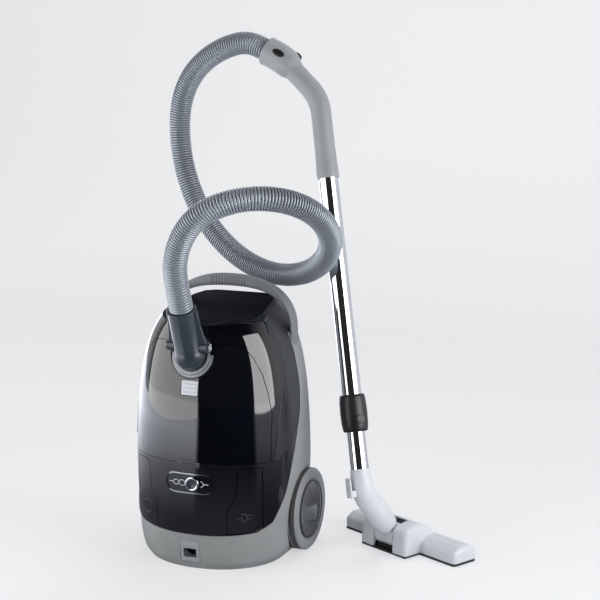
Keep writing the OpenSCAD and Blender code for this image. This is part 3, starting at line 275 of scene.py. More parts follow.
def section_values(z):
    """Half width, front reach and back reach at heights z, smooth between the sections."""
    heights = CASE_SECTIONS[:, 0] * MM
    out = []
    for column, size in CASE_REACHES:
        values = CASE_SECTIONS[:, column]
        steps = np.diff(values) / np.diff(heights)
        slopes = np.zeros(len(values))
        same = steps[:-1] * steps[1:] > 0
        mean = 2 * steps[:-1] * steps[1:] / np.where(same, steps[:-1] + steps[1:], 1)
        slopes[1:-1] = np.where(same, mean, 0)
        slopes[0], slopes[-1] = steps[0], steps[-1]
        i = np.clip(np.searchsorted(heights, z) - 1, 0, len(heights) - 2)
        width = heights[i + 1] - heights[i]
        t = np.clip((z - heights[i]) / width, 0, 1)
        out.append(size * (
            (2 * t ** 3 - 3 * t ** 2 + 1) * values[i] + (t ** 3 - 2 * t ** 2 + t) * width * slopes[i]
            + (3 * t ** 2 - 2 * t ** 3) * values[i + 1] + (t ** 3 - t ** 2) * width * slopes[i + 1]
        ))
    return out


def plain_values(z):
    """The same three reaches, straight between the sections as the solids have them."""
    heights = CASE_SECTIONS[:, 0] * MM
    return [np.interp(z, heights, CASE_SECTIONS[:, column]) * size for column, size in CASE_REACHES]


def outline(angle, values):
    """Point of the case's outline in a direction."""
    half_w, front, back = values
    c, s = np.abs(np.cos(angle)), np.abs(np.sin(angle))
    ahead = np.sin(angle) < 0
    n = np.where(ahead, ROUND_FRONT, ROUND_BACK)
    r = 1 / (c ** n + s ** n) ** (1 / n)
    return half_w * r * np.cos(angle), np.where(ahead, front, back) * r * np.sin(angle)


def on_skin(points):
    """Which points lie on the solids' many-sided outer skin, and their place on the smooth one."""
    x, y, z = points.T
    values = plain_values(z)
    depth = np.where(y < 0, values[1], values[2])
    angle = np.arctan2(y / depth, x / values[0])
    step = 2 * math.pi / CASE_SIDES
    first = np.floor(angle / step - 0.5) + 0.5
    ax, ay = outline(first * step, values)
    bx, by = outline((first + 1) * step, values)
    length = np.hypot(bx - ax, by - ay)
    away = ((x - ax) * (by - ay) - (y - ay) * (bx - ax)) / length
    found = np.abs(away) < 0.00025
    sx, sy = outline(angle, section_values(z))
    return found, np.stack([sx, sy, z], 1)


def skin_level(points):
    """1 on the smooth skin, less inside it and more outside."""
    half_w, front, back = section_values(points[:, 2])
    ahead = points[:, 1] < 0
    n = np.where(ahead, ROUND_FRONT, ROUND_BACK)
    depth = np.where(ahead, front, back)
    return ((np.abs(points[:, 0]) / half_w) ** n + (np.abs(points[:, 1]) / depth) ** n) ** (1 / n)


def skin_normals(points):
    """Outward normals of the smooth skin."""
    nudges = np.eye(3) * 0.0004
    grad = np.stack([skin_level(points + d) - skin_level(points - d) for d in nudges], 1)
    return grad / np.linalg.norm(grad, axis=1, keepdims=True)


def reaches(z):
    """The smooth skin's half width, front reach and back reach at one height."""
    return [float(v[0]) for v in section_values(np.array([z]))]


def front_skin(x, z, proud=0.0):
    """Point of the case's front skin at a side place and a height, proud of it by some length."""
    half_w, front, _back = reaches(z)
    y = -front * (1 - min(abs(x) / half_w, 0.999) ** ROUND_FRONT) ** (1 / ROUND_FRONT)
    point = np.array([[x, y, z]])
    return Vector(point[0] + proud * skin_normals(point)[0])


def faired(node, material, longest=0.008):
    """A copy of a case part whose outer skin is carried from flat sides to the smooth form."""
    piece = copied(node, node + "_fair")
    mesh = piece.data
    work = bmesh.new()
    work.from_mesh(mesh)
    for _ in range(6):
        points = np.array([v.co for v in work.verts])
        found, _smooth = on_skin(points)
        work.verts.index_update()
        edges = [e for e in work.edges if e.calc_length() > longest
                 and found[e.verts[0].index] and found[e.verts[1].index]]
        if not edges:
            break
        bmesh.ops.subdivide_edges(work, edges=edges, cuts=1)
        bmesh.ops.triangulate(work, faces=[f for f in work.faces if len(f.verts) > 3])
    points = np.array([v.co for v in work.verts])
    found, smooth = on_skin(points)
    for v, hit, p in zip(work.verts, found, smooth):
        if hit:
            v.co = p
    work.to_mesh(mesh)
    work.free()
    smoothed(piece, 32)
    points = np.array([v.co for v in mesh.vertices])
    true_normals = skin_normals(points)
    chosen = []
    for face in mesh.polygons:
        corners = list(face.vertices)
        outer = (all(found[corners]) and abs(skin_level(points[corners].mean(0)[None])[0] - 1) < 0.006
                 and (face.area <= 1e-6
                      or Vector(true_normals[corners[0]]).dot(face.normal) > 0.88))
        chosen += [tuple(true_normals[i]) if outer else (0.0, 0.0, 0.0) for i in corners]
    mesh.normals_split_custom_set(chosen)
    return dressed(piece, material, node, [node])


# ---- Materials ----------------------------------------------------------------------------

def add_node(material, kind, settings=None, **links):
    """Adds a node, with its settings, and values or (node, output) pairs for its inputs."""
    tree = material.node_tree
    made = tree.nodes.new(kind)
    for key, value in (settings or {}).items():
        setattr(made, key, value)
    for key, value in links.items():
        numbered = key[0] == "i" and key[1:].isdigit()
        socket = made.inputs[int(key[1:]) if numbered else key.replace("_", " ")]
        if isinstance(value, tuple) and hasattr(value[0], "outputs"):
            tree.links.new(value[0].outputs[value[1]], socket)
        else:
            socket.default_value = value
    return made


def ranged(material, value, low, high, to_low=0.0, to_high=1.0, **settings):
    """A value carried from one range to another, as a (node, output) pair."""
    return (add_node(material, "ShaderNodeMapRange", settings, Value=value, From_Min=low,
                     From_Max=high, To_Min=to_low, To_Max=to_high), "Result")


def maths(material, operation, a, b=0.0):
    """One step of arithmetic, as a (node, output) pair."""
    return (add_node(material, "ShaderNodeMath", {"operation": operation}, i0=a, i1=b), "Value")


def mix_shaders(material, share, first, second):
    """Two shaders mixed by a share, as a (node, output) pair."""
    return (add_node(material, "ShaderNodeMixShader", None, i0=share, i1=first, i2=second), "Shader")


def show(material, shader):
    """Makes a (node, output) pair what the material shows."""
    surface = material.node_tree.nodes["Material Output"].inputs["Surface"]
    material.node_tree.links.new(shader[0].outputs[shader[1]], surface)


def shader_of(material):
    return material.node_tree.nodes["Principled BSDF"]


def place_of(material):
    return (add_node(material, "ShaderNodeTexCoord"), "Object")


def bare_finish(name, colour, roughness, metallic=0.0, coat=0.0):
    """A new material with its main shader set."""
    material = bpy.data.materials.new(name)
    material.use_nodes = True
    shader = shader_of(material)
    for socket, value in (("Base Color", srgb(colour)), ("Roughness", roughness),
                          ("Metallic", metallic), ("IOR", 1.5), ("Coat Weight", coat),
                          ("Coat Roughness", 0.03)):
        shader.inputs[socket].default_value = value
    return material, shader


CLOUD_LOW, CLOUD_HIGH = 0.3, 0.7


def varied(material, shader, dark, light, cloud_mm, rough, rough_spread):
    """Slow cloudy change of colour and gloss, as handling and moulding flow leave."""
    place = place_of(material)
    cloud = add_node(material, "ShaderNodeTexNoise", None, Vector=place, Scale=1000 / cloud_mm,
                     Detail=4.0, Roughness=0.55)
    tint = add_node(material, "ShaderNodeValToRGB", None, Fac=(cloud, "Fac"))
    for stop, position, colour in zip(tint.color_ramp.elements, (CLOUD_LOW, CLOUD_HIGH),
                                      (dark, light)):
        stop.position, stop.color = position, srgb(colour)
    material.node_tree.links.new(tint.outputs["Color"], shader.inputs["Base Color"])
    gloss, result = ranged(material, (cloud, "Fac"), CLOUD_LOW, CLOUD_HIGH, rough - rough_spread,
                           rough + rough_spread)
    material.node_tree.links.new(gloss.outputs[result], shader.inputs["Roughness"])
    return place


def grained(material, shader, place, grain_mm, depth_mm):
    """Fine spark-eroded grain of a moulding tool."""
    grain = add_node(material, "ShaderNodeTexNoise", None, Vector=place, Scale=1000 / grain_mm,
                     Detail=2.0)
    bump = add_node(material, "ShaderNodeBump", None, Height=(grain, "Fac"), Strength=0.5,
                    Distance=depth_mm * MM)
    material.node_tree.links.new(bump.outputs["Normal"], shader.inputs["Normal"])


def moulded(name, dark, light, rough, cloud_mm=60, grain_mm=1.2, depth_mm=0.05, spread=0.04,
            coat=0.0):
    """Moulded plastic: an even colour with slow clouds of gloss and a fine tool grain."""
    material, shader = bare_finish(name, light, rough, coat=coat)
    place = varied(material, shader, dark, light, cloud_mm, rough, spread)
    if depth_mm:
        grained(material, shader, place, grain_mm, depth_mm)
    return material


def metal(name, dark, light, rough, cloud_mm=30, spread=0.02):
    """Bare or plated metal: colour from the metal itself, gloss from its polish."""
    material, shader = bare_finish(name, light, rough, metallic=1.0)
    varied(material, shader, dark, light, cloud_mm, rough, spread)
    return material


# Textured ABS in mid grey: a soft even light with a fine grain
grey_abs = moulded("grey_textured_abs", "#828485", "#8a8c8d", 0.52)
shader_of(grey_abs).inputs["Specular IOR Level"].default_value = 0.3
# The darker, smoother ABS of the upper case: broad dim reflections
dark_abs = moulded("dark_satin_abs", "#1f2123", "#25272a", 0.38, grain_mm=1.0, depth_mm=0.02)
shader_of(dark_abs).inputs["Specular IOR Level"].default_value = 0.35
# High-gloss black ABS with a navy cast: mirror reflections under a clear skin
gloss_black = moulded("gloss_black_abs", "#05070c", "#080b12", 0.05, cloud_mm=120, depth_mm=0,
                      spread=0.015, coat=0.6)
# The rear panel is the same black, a little softer from wear near the floor
panel_black = moulded("panel_black_abs", "#0b0c0f", "#111316", 0.13, cloud_mm=90, depth_mm=0,
                      spread=0.03, coat=0.35)
# Extruded hose of silver-filled plastic: bright crests with a metallic cast
hose_silver = moulded("silver_hose_plastic", "#8b929b", "#979ea6", 0.3, cloud_mm=120, depth_mm=0)
shader_of(hose_silver).inputs["Metallic"].default_value = 0.35
# The same plastic, painted darker down between the ribs as painted shade, where little light comes
hose_valley_shade = moulded("shaded_hose_plastic", "#3c4046", "#454a50", 0.4, cloud_mm=120, depth_mm=0)
# Slate ABS of the elbow: satin, with a blue cast
slate_abs = moulded("slate_satin_abs", "#2c343b", "#343d46", 0.24, depth_mm=0.015)
# Grip of soft-feel grey plastic: no sharp reflections at all
grip_grey = moulded("grip_matt_plastic", "#8b8e91", "#93969a", 0.5, grain_mm=1.4, depth_mm=0.05)
# Black nylon of sliders and collar: satin with a faint grain
black_nylon = moulded("black_nylon", "#17181a", "#202123", 0.38, depth_mm=0.03)
# Charcoal plastic of ribs, grilles and cuffs
charcoal = moulded("charcoal_plastic", "#303234", "#393b3d", 0.45)
# Chrome on steel tube: near-perfect mirror
chrome = metal("chromed_steel", "#d4d7da", "#e2e4e6", 0.045, spread=0.012)
# Zinc-plated fasteners, springs and axles
zinc = metal("zinc_plated_steel", "#9ba0a5", "#b4b8bc", 0.3)
# Marks raised on the black panels
satin_mark = moulded("satin_raised_mark", "#3b3e43", "#43464b", 0.35, depth_mm=0)
# Tread of the wheels, darker than their sides
dark_tread = moulded("dark_tread_rubber", "#4a4c4e", "#535557", 0.6, cloud_mm=20, depth_mm=0.05)
# The handle's grey: the base's grey painted darker as painted shade, since little light falls on it from
# above, and a little softer
handle_shaded_abs = moulded("handle_shaded_grey_plastic", "#696c6f", "#717477", 0.5)
# Light blue-grey ABS of the floor head and neck
pale_abs = moulded("pale_blue_grey_abs", "#c0c4ca", "#c8ccd2", 0.34, depth_mm=0.02)
# Light grey of the latch and the ring round the inlet
light_abs = moulded("light_grey_abs", "#c0c4ca", "#cacdd3", 0.32, depth_mm=0.02)
# Mid grey of the ring round the inlet and the cord outlet
ring_abs = moulded("mid_grey_abs", "#8b8e91", "#94979a", 0.34, depth_mm=0.02)
# Rubber tyre: dull, slightly dusty
tyre_rubber = moulded("grey_tyre_rubber", "#7c7e80", "#85878a", 0.55, cloud_mm=30, grain_mm=1.0,
                      depth_mm=0.05)
dark_rubber = moulded("dark_rubber", "#1a1b1c", "#262728", 0.66, cloud_mm=10, grain_mm=1.0,
                      depth_mm=0.06)
# Hub caps in smoked gloss plastic
hub_gloss = moulded("smoked_gloss_plastic", "#4c4e50", "#555759", 0.12, cloud_mm=50, depth_mm=0,
                    coat=0.4)
# Bright plated plastic of the slider's rim and knob
plated = metal("plated_plastic", "#b9bcc0", "#cdd0d4", 0.16)
# Natural plastic inside the chamber
chamber_plastic = moulded("natural_plastic", "#a9acac", "#b6b9b9", 0.42)
# Paper bag: fibrous and dull
bag_paper = moulded("filter_paper", "#cfc8b8", "#ddd7c8", 0.85, cloud_mm=9, grain_mm=1.5,
                    depth_mm=0.15)
card = moulded("grey_card", "#bdb7a6", "#cbc6b6", 0.8, cloud_mm=8, grain_mm=1.0, depth_mm=0.08)
# Open-cell foam and pleated filter
foam = moulded("filter_foam", "#c6cacd", "#e0e3e5", 0.9, cloud_mm=3, grain_mm=2.0, depth_mm=0.4)
# Motor iron and copper
iron = metal("lamination_steel", "#5d6063", "#70747a", 0.45, cloud_mm=6)
copper = metal("enamelled_copper", "#8e4d2c", "#b4683c", 0.35, cloud_mm=4)
# Circuit board under green solder mask
board_green = moulded("board_green", "#1f5638", "#2a6a47", 0.4, cloud_mm=7, grain_mm=2.0,
                      depth_mm=0.1)
white_mark = moulded("pad_printed_white", "#c9ccd0", "#d6d9dc", 0.4, cloud_mm=20, depth_mm=0)

CAD_FINISH = (
    (grey_abs, "base_shell carry_handle"), (dark_abs, "upper_shell"), (gloss_black, "dust_cover"),
    (panel_black, "rear_panel power_pedal rewind_pedal"),
    (light_abs, "inlet_collar cord_outlet cover_latch elbow_button_left elbow_button_right"),
    (chamber_plastic, "bag_chamber"), (card, "bag_holder"), (bag_paper, "dust_bag"),
    (foam, "motor_filter exhaust_filter"), (iron, "motor_stator"), (copper, "motor_rotor"),
    (board_green, "control_board"), (hose_silver, "hose"), (slate_abs, "hose_elbow"),
    (dark_rubber, "motor_mounts chamber_seal caster_wheel head_rollers"),
    (charcoal, "motor_case reel_frame reel_drum exhaust_grille hose_cuff caster_fork"
               " relief_slider lock_button sole_plate"),
    (zinc, "reel_spring wheel_axles case_screws hinge_pin pedal_springs caster_axle"
           " latch_spring impeller"),
    (plated, "slider_guide power_slider"), (tyre_rubber, "wheel_left wheel_right"),
    (hub_gloss, "hub_left hub_right"), (grip_grey, "grip_handle"), (black_nylon, "lock_collar"),
    (chrome, "upper_tube lower_tube"), (pale_abs, "neck_elbow neck_yoke head_shell"),
)
for material, nodes in CAD_FINISH:
    for node in nodes.split():
        solid = NODES[node]
        if not solid.material_slots:
            solid.data.materials.append(material)
        for place in solid.material_slots:
            place.material = material


# ---- Hose ---------------------------------------------------------------------------------

def hose_point(s):
    """Point of the hose's centre line, a uniform cubic B-spline over the route's points."""
    i = min(int(s), len(HOSE_ROUTE) - 4)
    t = s - i
    a, b, c, d = HOSE_ROUTE[i:i + 4]
    return (a * (1 - t) ** 3 + b * (3 * t ** 3 - 6 * t ** 2 + 4)
            + c * (1 + 3 * t + 3 * t ** 2 - 3 * t ** 3) + d * t ** 3) / 6


def distances(path):
    """How far along a path each of its points lies."""
    return np.concatenate([[0], np.cumsum([(b - a).length for a, b in zip(path, path[1:])])])


def even_steps(function, spans, count, samples=1500):
    """Count + 1 points at even distances along a curve, and the curve's length."""
    fine = [function(spans * k / samples) for k in range(samples + 1)]
    run = distances(fine)
    wanted = np.linspace(0, run[-1], count + 1)
    table = np.array([list(p) for p in fine])
    at = np.stack([np.interp(wanted, run, table[:, k]) for k in range(3)], 1)
    return [Vector(p) for p in at], float(run[-1])


def swept(name, centres, radii, sides, side_hint=(1, 0, 0)):
    """A closed round tube along centre points, with a radius at each."""
    piece = primitive(name, bpy.ops.mesh.primitive_grid_add, x_subdivisions=sides - 1,
                      y_subdivisions=len(centres) - 1, size=1)
    piece.data.name = name
    work = bmesh.new()
    side = Vector(side_hint)
    rings = []
    for i, centre in enumerate(centres):
        way = (centres[min(i + 1, len(centres) - 1)] - centres[max(i - 1, 0)]).normalized()
        side = (side - way * side.dot(way)).normalized()
        across = way.cross(side)
        rings.append([
            work.verts.new(centre + radii[i] * (math.cos(a) * side + math.sin(a) * across))
            for a in (2 * math.pi * k / sides for k in range(sides))
        ])
    for low, high in zip(rings, rings[1:]):
        for k in range(sides):
            j = (k + 1) % sides
            work.faces.new((low[k], low[j], high[j], high[k]))
    work.faces.new(rings[0][::-1])
    work.faces.new(rings[-1])
    work.to_mesh(piece.data)
    work.free()
    return piece


def bead(name, points, radius, material, node, sides=8, body=None):
    """A thin round bead along points."""
    piece = swept(name, [Vector(p) for p in points], [radius] * len(points), sides)
    smoothed(piece, 60)
    return dressed(piece, material, node, body=body)


RIBS = 300
RIB_PROFILE = (1.0, 0.35, 0.0, 0.0, 0.35)
hose_centres, hose_length = even_steps(hose_point, len(HOSE_ROUTE) - 3, RIBS * len(RIB_PROFILE))
hose_radii = [HOSE_R - RIB_DEPTH * RIB_PROFILE[i % len(RIB_PROFILE)]
              for i in range(len(hose_centres))]
HOSE_SIDES = 24
hose = swept("ribbed_hose", hose_centres, hose_radii, HOSE_SIDES)
smoothed(hose, 60)
hose.data.materials.clear()
hose.data.materials.append(hose_silver)
hose.data.materials.append(hose_valley_shade)
# Faces at the deepest rings get the painted shade
for face in hose.data.polygons:
    ring = min(face.vertices) // HOSE_SIDES
    face.material_index = 1 if RIB_PROFILE[ring % len(RIB_PROFILE)] > 0.5 else 0
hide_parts("hose")
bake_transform(hose)

# ---- Case ---------------------------------------------------------------------------------

# Edge of the glossy front on the upper shell: heights and distances from the middle plane
EDGE_HEIGHTS = np.array([0.190, 0.225, 0.260, 0.300, 0.340, 0.385, 0.425, 0.455])
EDGE_PLACES = np.array([0.1343, 0.1352, 0.1360, 0.1362, 0.1322, 0.1205, 0.1015, 0.0850])
EDGE_FIT = np.polyfit(EDGE_HEIGHTS, EDGE_PLACES, 5)
# The edge as a curve between two heights, as shares of its reach
CURVE_LOW, CURVE_HIGH, CURVE_REACH = 0.18, 0.46, 0.15
DECK_Y, DECK_Z, DECK_SLOPE, DECK_SKIN = -0.0888, 0.428, 0.028 / 0.1888, 0.0006


def gloss_edge(z):
    """Place of the glossy front's edge at a height."""
    return float(np.polyval(EDGE_FIT, z))


def two_tone(material, gloss):
    """Makes a plastic glossy and black in front of the case's side edge and on its deck."""
    parts = add_node(material, "ShaderNodeSeparateXYZ", None, Vector=place_of(material))
    x, y, z = ((parts, axis) for axis in "XYZ")
    curve = add_node(material, "ShaderNodeFloatCurve", None,
                     Value=ranged(material, z, CURVE_LOW, CURVE_HIGH))
    points = curve.mapping.curves[0].points
    heights = np.linspace(CURVE_LOW, CURVE_HIGH, 15)
    points[0].location = (0, gloss_edge(heights[0]) / CURVE_REACH)
    points[1].location = (1, gloss_edge(heights[-1]) / CURVE_REACH)
    for height in heights[1:-1]:
        points.new((height - CURVE_LOW) / (CURVE_HIGH - CURVE_LOW), gloss_edge(height) / CURVE_REACH)
    for point in points:
        point.handle_type = "VECTOR"
    curve.mapping.update()
    edge = maths(material, "MULTIPLY", (curve, "Value"), CURVE_REACH)
    inside = maths(material, "GREATER_THAN", edge, maths(material, "ABSOLUTE", x))
    front = maths(material, "MULTIPLY", inside, maths(material, "LESS_THAN", y, 0.0))
    deck = maths(material, "ADD", maths(material, "MULTIPLY", y, DECK_SLOPE),
                 DECK_Z - DECK_Y * DECK_SLOPE - DECK_SKIN)
    black = add_node(material, "ShaderNodeBsdfPrincipled", None, Base_Color=srgb(gloss),
                     Roughness=0.05, Coat_Weight=0.6, Coat_Roughness=0.03)
    dull = add_node(material, "ShaderNodeBsdfPrincipled", None, Base_Color=srgb(gloss),
                    Roughness=0.6, Specular_IOR_Level=0.06)
    sides = mix_shaders(material, front, (shader_of(material), "BSDF"), (black, "BSDF"))
    show(material, mix_shaders(material, maths(material, "LESS_THAN", deck, z), sides, (dull, "BSDF")))
    return material


for node, material in (
        ("base_shell", grey_abs), ("upper_shell", two_tone(dark_abs, "#06080d")),
        ("rear_panel", panel_black), ("dust_cover", gloss_black),
        ("power_pedal", panel_black), ("rewind_pedal", panel_black)):
    faired(node, material)

for side, name in ((-1, "gloss_bead_left"), (1, "gloss_bead_right")):
    bead(name, [front_skin(side * gloss_edge(z), z, 0.0001) for z in np.linspace(0.2155, 0.424, 60)],
         0.0009, gloss_black, "dust_cover", 10, "canister")

REFINED = (
    ("carry_handle", handle_shaded_abs, 0), ("inlet_collar", ring_abs, 0.0008),
    ("cord_outlet", ring_abs, 0.0008), ("exhaust_grille", charcoal, 0),
    ("wheel_left", tyre_rubber, 0), ("wheel_right", tyre_rubber, 0),
    ("hub_left", hub_gloss, 0), ("hub_right", hub_gloss, 0), ("cover_latch", light_abs, 0.0006),
    ("hose_elbow", slate_abs, 0), ("elbow_button_left", slate_abs, 0.0012),
    ("elbow_button_right", slate_abs, 0.0012), ("upper_tube", chrome, 0),
    ("lower_tube", chrome, 0), ("neck_yoke", pale_abs, 0), ("lock_button", charcoal, 0.001),
    ("sole_plate", charcoal, 0), ("hose_cuff", charcoal, 0),
)
FINE = {node: refined(node, material, bevel) for node, material, bevel in REFINED}


def painted(piece, material, chosen):
    """Gives the faces that a test picks a second material."""
    piece.data.materials.append(material)
    last = len(piece.data.materials) - 1
    for face in piece.data.polygons:
        if chosen(face):
            face.material_index = last


def turned(name, frame_of, profile, sides, material, node, replaced=(), smooth=35):
    """A round piece about a frame's Z axis, from a table of radius and height."""
    piece = primitive(name, bpy.ops.mesh.primitive_circle_add, vertices=sides,
                      radius=profile[0][0], fill_type="NGON", location=(0, 0, profile[0][1]))
    settle(piece)
    bpy.ops.object.mode_set(mode="EDIT")
    bpy.ops.mesh.select_all(action="SELECT")
    for (r0, z0), (r1, z1) in zip(profile, profile[1:]):
        bpy.ops.mesh.extrude_region_move(TRANSFORM_OT_translate={"value": (0, 0, z1 - z0)})
        bpy.ops.transform.resize(value=(r1 / r0, r1 / r0, 1), center_override=(0, 0, z1))
    bpy.ops.object.mode_set(mode="OBJECT")
    piece.data.transform(frame_of)
    outwards(piece)
    smoothed(piece, smooth)
    return dressed(piece, material, node, replaced)


def ring_line(name, frame_of, radius, line_r, material, node):
    """A thin round bead in a circle about a frame's Z axis."""
    piece = primitive(name, bpy.ops.mesh.primitive_torus_add, major_radius=radius,
                      minor_radius=line_r, major_segments=96, minor_segments=10)
    settle(piece)
    piece.data.transform(frame_of)
    smoothed(piece, 60)
    return dressed(piece, material, node)


def standing_at(point, outward, hint=(0, 0, 1)):
    """Frame at a point, with its Z axis outward and its Y axis near a hint."""
    z = Vector(outward).normalized()
    x = Vector(hint).cross(z).normalized()
    turn = Matrix((x, z.cross(x), z)).transposed()
    return Matrix.Translation(point) @ turn.to_4x4()


# The ring round the inlet is grey below and black above, with dark lines at its steps
painted(FINE["inlet_collar"], gloss_black, lambda face: face.center.z > INLET.z + 0.003)
for name, radius, up in (("inlet_line_inner", 0.0340, -0.0006), ("inlet_line_outer", 0.0399, -0.0010)):
    ring_line(name, INLET_FRAME @ Matrix.Translation((0, 0, up)), radius, 0.0008, black_nylon,
              "inlet_collar")

# Wheels: grey sides, a darker tread and a black line round the hub
for side, node in ((-1, "wheel_left"), (1, "wheel_right")):
    painted(FINE[node], dark_tread, lambda face: abs(face.normal.x) < 0.45)
    low_hub, high_hub = (Vector(v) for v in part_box(node.replace("wheel", "hub")))
    low_wheel, high_wheel = (Vector(v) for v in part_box(node))
    centre = (low_hub + high_hub) / 2
    centre.x = (high_wheel.x if side > 0 else low_wheel.x) - side * 0.0002
    ring_line("hub_line" + node[5:], standing_at(centre, (side, 0, 0)),
              (high_hub.y - low_hub.y) / 2 + 0.0006, 0.0009, black_nylon, node)

# The slider: a bright rim, a black inset plate with printed marks, and a ringed knob
SLOT_Z, SLOT_STRAIGHT, SLOT_R, RIM_WIDTH = 0.155, 0.028, 0.018, 0.002
PLATE_DEEP, MARK_DEEP, MARK_R = 0.0018, 0.0021, 0.0007
guide = refined("slider_guide", plated)
painted(guide, gloss_black, lambda face: math.hypot(
    max(abs(face.center.x) - SLOT_STRAIGHT, 0), face.center.z - SLOT_Z) < SLOT_R - RIM_WIDTH - 0.0002)
plate = primitive("slider_plate", bpy.ops.mesh.primitive_grid_add, x_subdivisions=48,
                  y_subdivisions=24, size=2)
inner_r = SLOT_R - RIM_WIDTH - 0.0001
for v in plate.data.vertices:
    reach = SLOT_STRAIGHT + inner_r * math.sqrt(max(0, 1 - v.co.y ** 2))
    v.co = front_skin(v.co.x * reach, SLOT_Z + inner_r * v.co.y, -PLATE_DEEP)
outwards(plate)
apply_modifier(plate, "SOLIDIFY", thickness=0.0012, offset=-1.0)
smoothed(plate, 40)
dressed(plate, gloss_black, "rear_panel")


def printed(name, lines):
    """Printed line marks on the slider's plate, joined into one piece."""
    parts = [swept("%s_%d" % (name, i), [front_skin(x, SLOT_Z + z, -MARK_DEEP) for x, z in line],
                   [MARK_R] * len(line), 6) for i, line in enumerate(lines)]
    piece = joined(parts, name)
    smoothed(piece, 60)
    return dressed(piece, white_mark, "slider_guide")


def oval(x0, half_x, half_z, count=20):
    return [(x0 + half_x * math.cos(2 * math.pi * k / count), half_z * math.sin(2 * math.pi * k / count))
            for k in range(count + 1)]


printed("slider_marks", (
    [(-0.0385, 0), (-0.034, 0), (-0.031, 0)], oval(-0.0255, 0.0055, 0.0042),
    oval(-0.0135, 0.0060, 0.0050), [(0.0225, 0.0055), (0.0255, 0.003), (0.028, 0)],
    [(0.0225, -0.0055), (0.0255, -0.003), (0.028, 0)], [(0.028, 0), (0.032, 0), (0.036, 0)],
))
KNOB_X = 0.007
knob_at = front_skin(KNOB_X, SLOT_Z)
knob_out = Vector(skin_normals(np.array([knob_at]))[0])
knob = turned("slider_knob", standing_at(knob_at, knob_out), (
    (0.0122, -0.0014), (0.0128, 0.0002), (0.0127, 0.0018), (0.0118, 0.0027), (0.0104, 0.0029),
    (0.0086, 0.0024), (0.0074, 0.0010), (0.0064, 0.0004), (0.0030, 0.0001), (0.0004, 0.0000),
), 48, plated, "power_slider", ["power_slider"], 50)
painted(knob, slate_abs, lambda face: (face.center - knob_at).length < 0.0083
        and face.normal.dot(knob_out) > 0.2)

# Marks on the pedals, raised a little: a cord ring on the left, a plug on the right
bead("rewind_mark", [front_skin(-0.092 + 0.010 * math.cos(a), 0.098 + 0.012 * math.sin(a), 0.0001)
                     for a in np.linspace(0.3, 2 * math.pi - 0.3, 30)], 0.0006, satin_mark,
     "rewind_pedal")
for i, line in enumerate((
        [(82, 94), (86, 96), (90, 97)], [(90, 90), (90, 97), (90, 104)],
        [(90, 104), (94, 104), (97, 101)], [(90, 90), (94, 90), (97, 93)],
        [(97, 101), (97.5, 97), (97, 93)], [(97.5, 100), (101, 101), (104, 102)],
        [(97.5, 94), (101, 95), (104, 96)])):
    bead("power_mark_%d" % i, [front_skin(x * MM, z * MM, 0.0001) for x, z in line], 0.0006,
         satin_mark, "power_pedal")

# Dark joint between the grey rail and the panels it frames
RAIL_Y = [-0.180, -0.118, -0.080, -0.055, -0.028, -0.006, 0.016, 0.036, 0.044]
RAIL_Z = [0.062, 0.062, 0.066, 0.080, 0.125, 0.180, 0.222, 0.262, 0.300]


def side_x(y, z):
    """Half width of the skin at a depth and a height."""
    half_w, front, back = reaches(z)
    n, depth = (ROUND_FRONT, front) if y < 0 else (ROUND_BACK, back)
    return half_w * max(0.0, 1 - min(abs(y) / depth, 1) ** n) ** (1 / n)


BUMPER_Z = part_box("rear_panel")[0][2]
RAIL_TURN_Y, RAIL_TURN_Z, RAIL_TOP_Z = 0.044, 0.306, 0.392
rail_line = []
for a in np.linspace(0.0, math.pi / 2, 60):
    y = -CASE_FRONT * math.cos(a) ** (2 / ROUND_FRONT)
    z = float(np.interp(y, RAIL_Y, RAIL_Z)) + BUMPER_Z - RAIL_Z[0]
    half_w, front, _back = reaches(z)
    rail_line.append(Vector((half_w * math.sin(a) ** (2 / ROUND_FRONT),
                             -front * math.cos(a) ** (2 / ROUND_FRONT), z)))
for y in np.linspace(0.002, RAIL_TURN_Y, 24):
    z = float(np.interp(y, RAIL_Y, RAIL_Z))
    rail_line.append(Vector((side_x(y, z), y, z)))
rail_line += [Vector((side_x(RAIL_TURN_Y, z), RAIL_TURN_Y, z))
              for z in np.linspace(RAIL_TURN_Z, RAIL_TOP_Z, 24)]
both_rails = [Vector((-p.x, p.y, p.z)) for p in rail_line[:0:-1]] + rail_line
bead("rail_joint", both_rails, 0.0007, black_nylon, "rear_panel")

# Fine ribs on the handle's front, where the fingers close; their charcoal colour is painted shade,
# standing in for the dark grooves between them
HANDLE_RIBS, HANDLE_RIB_GAP, HANDLE_RIB_HALF = 13, 0.0055, 0.0065
handle = FINE["carry_handle"]
grip_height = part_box("carry_handle")[1][2] - 0.011
for i in range(HANDLE_RIBS):
    x = (i - HANDLE_RIBS // 2) * HANDLE_RIB_GAP
    line = []
    for z in np.linspace(grip_height - HANDLE_RIB_HALF, grip_height + HANDLE_RIB_HALF, 7):
        hit, place, _normal, _face = handle.ray_cast(Vector((x, -0.3, z)), Vector((0, 1, 0)))
        if hit:
            line.append(place + Vector((0, 0.0002, 0)))
    if len(line) > 3:
        bead("handle_rib_%02d" % i, line, 0.0008, charcoal, "carry_handle", 6)

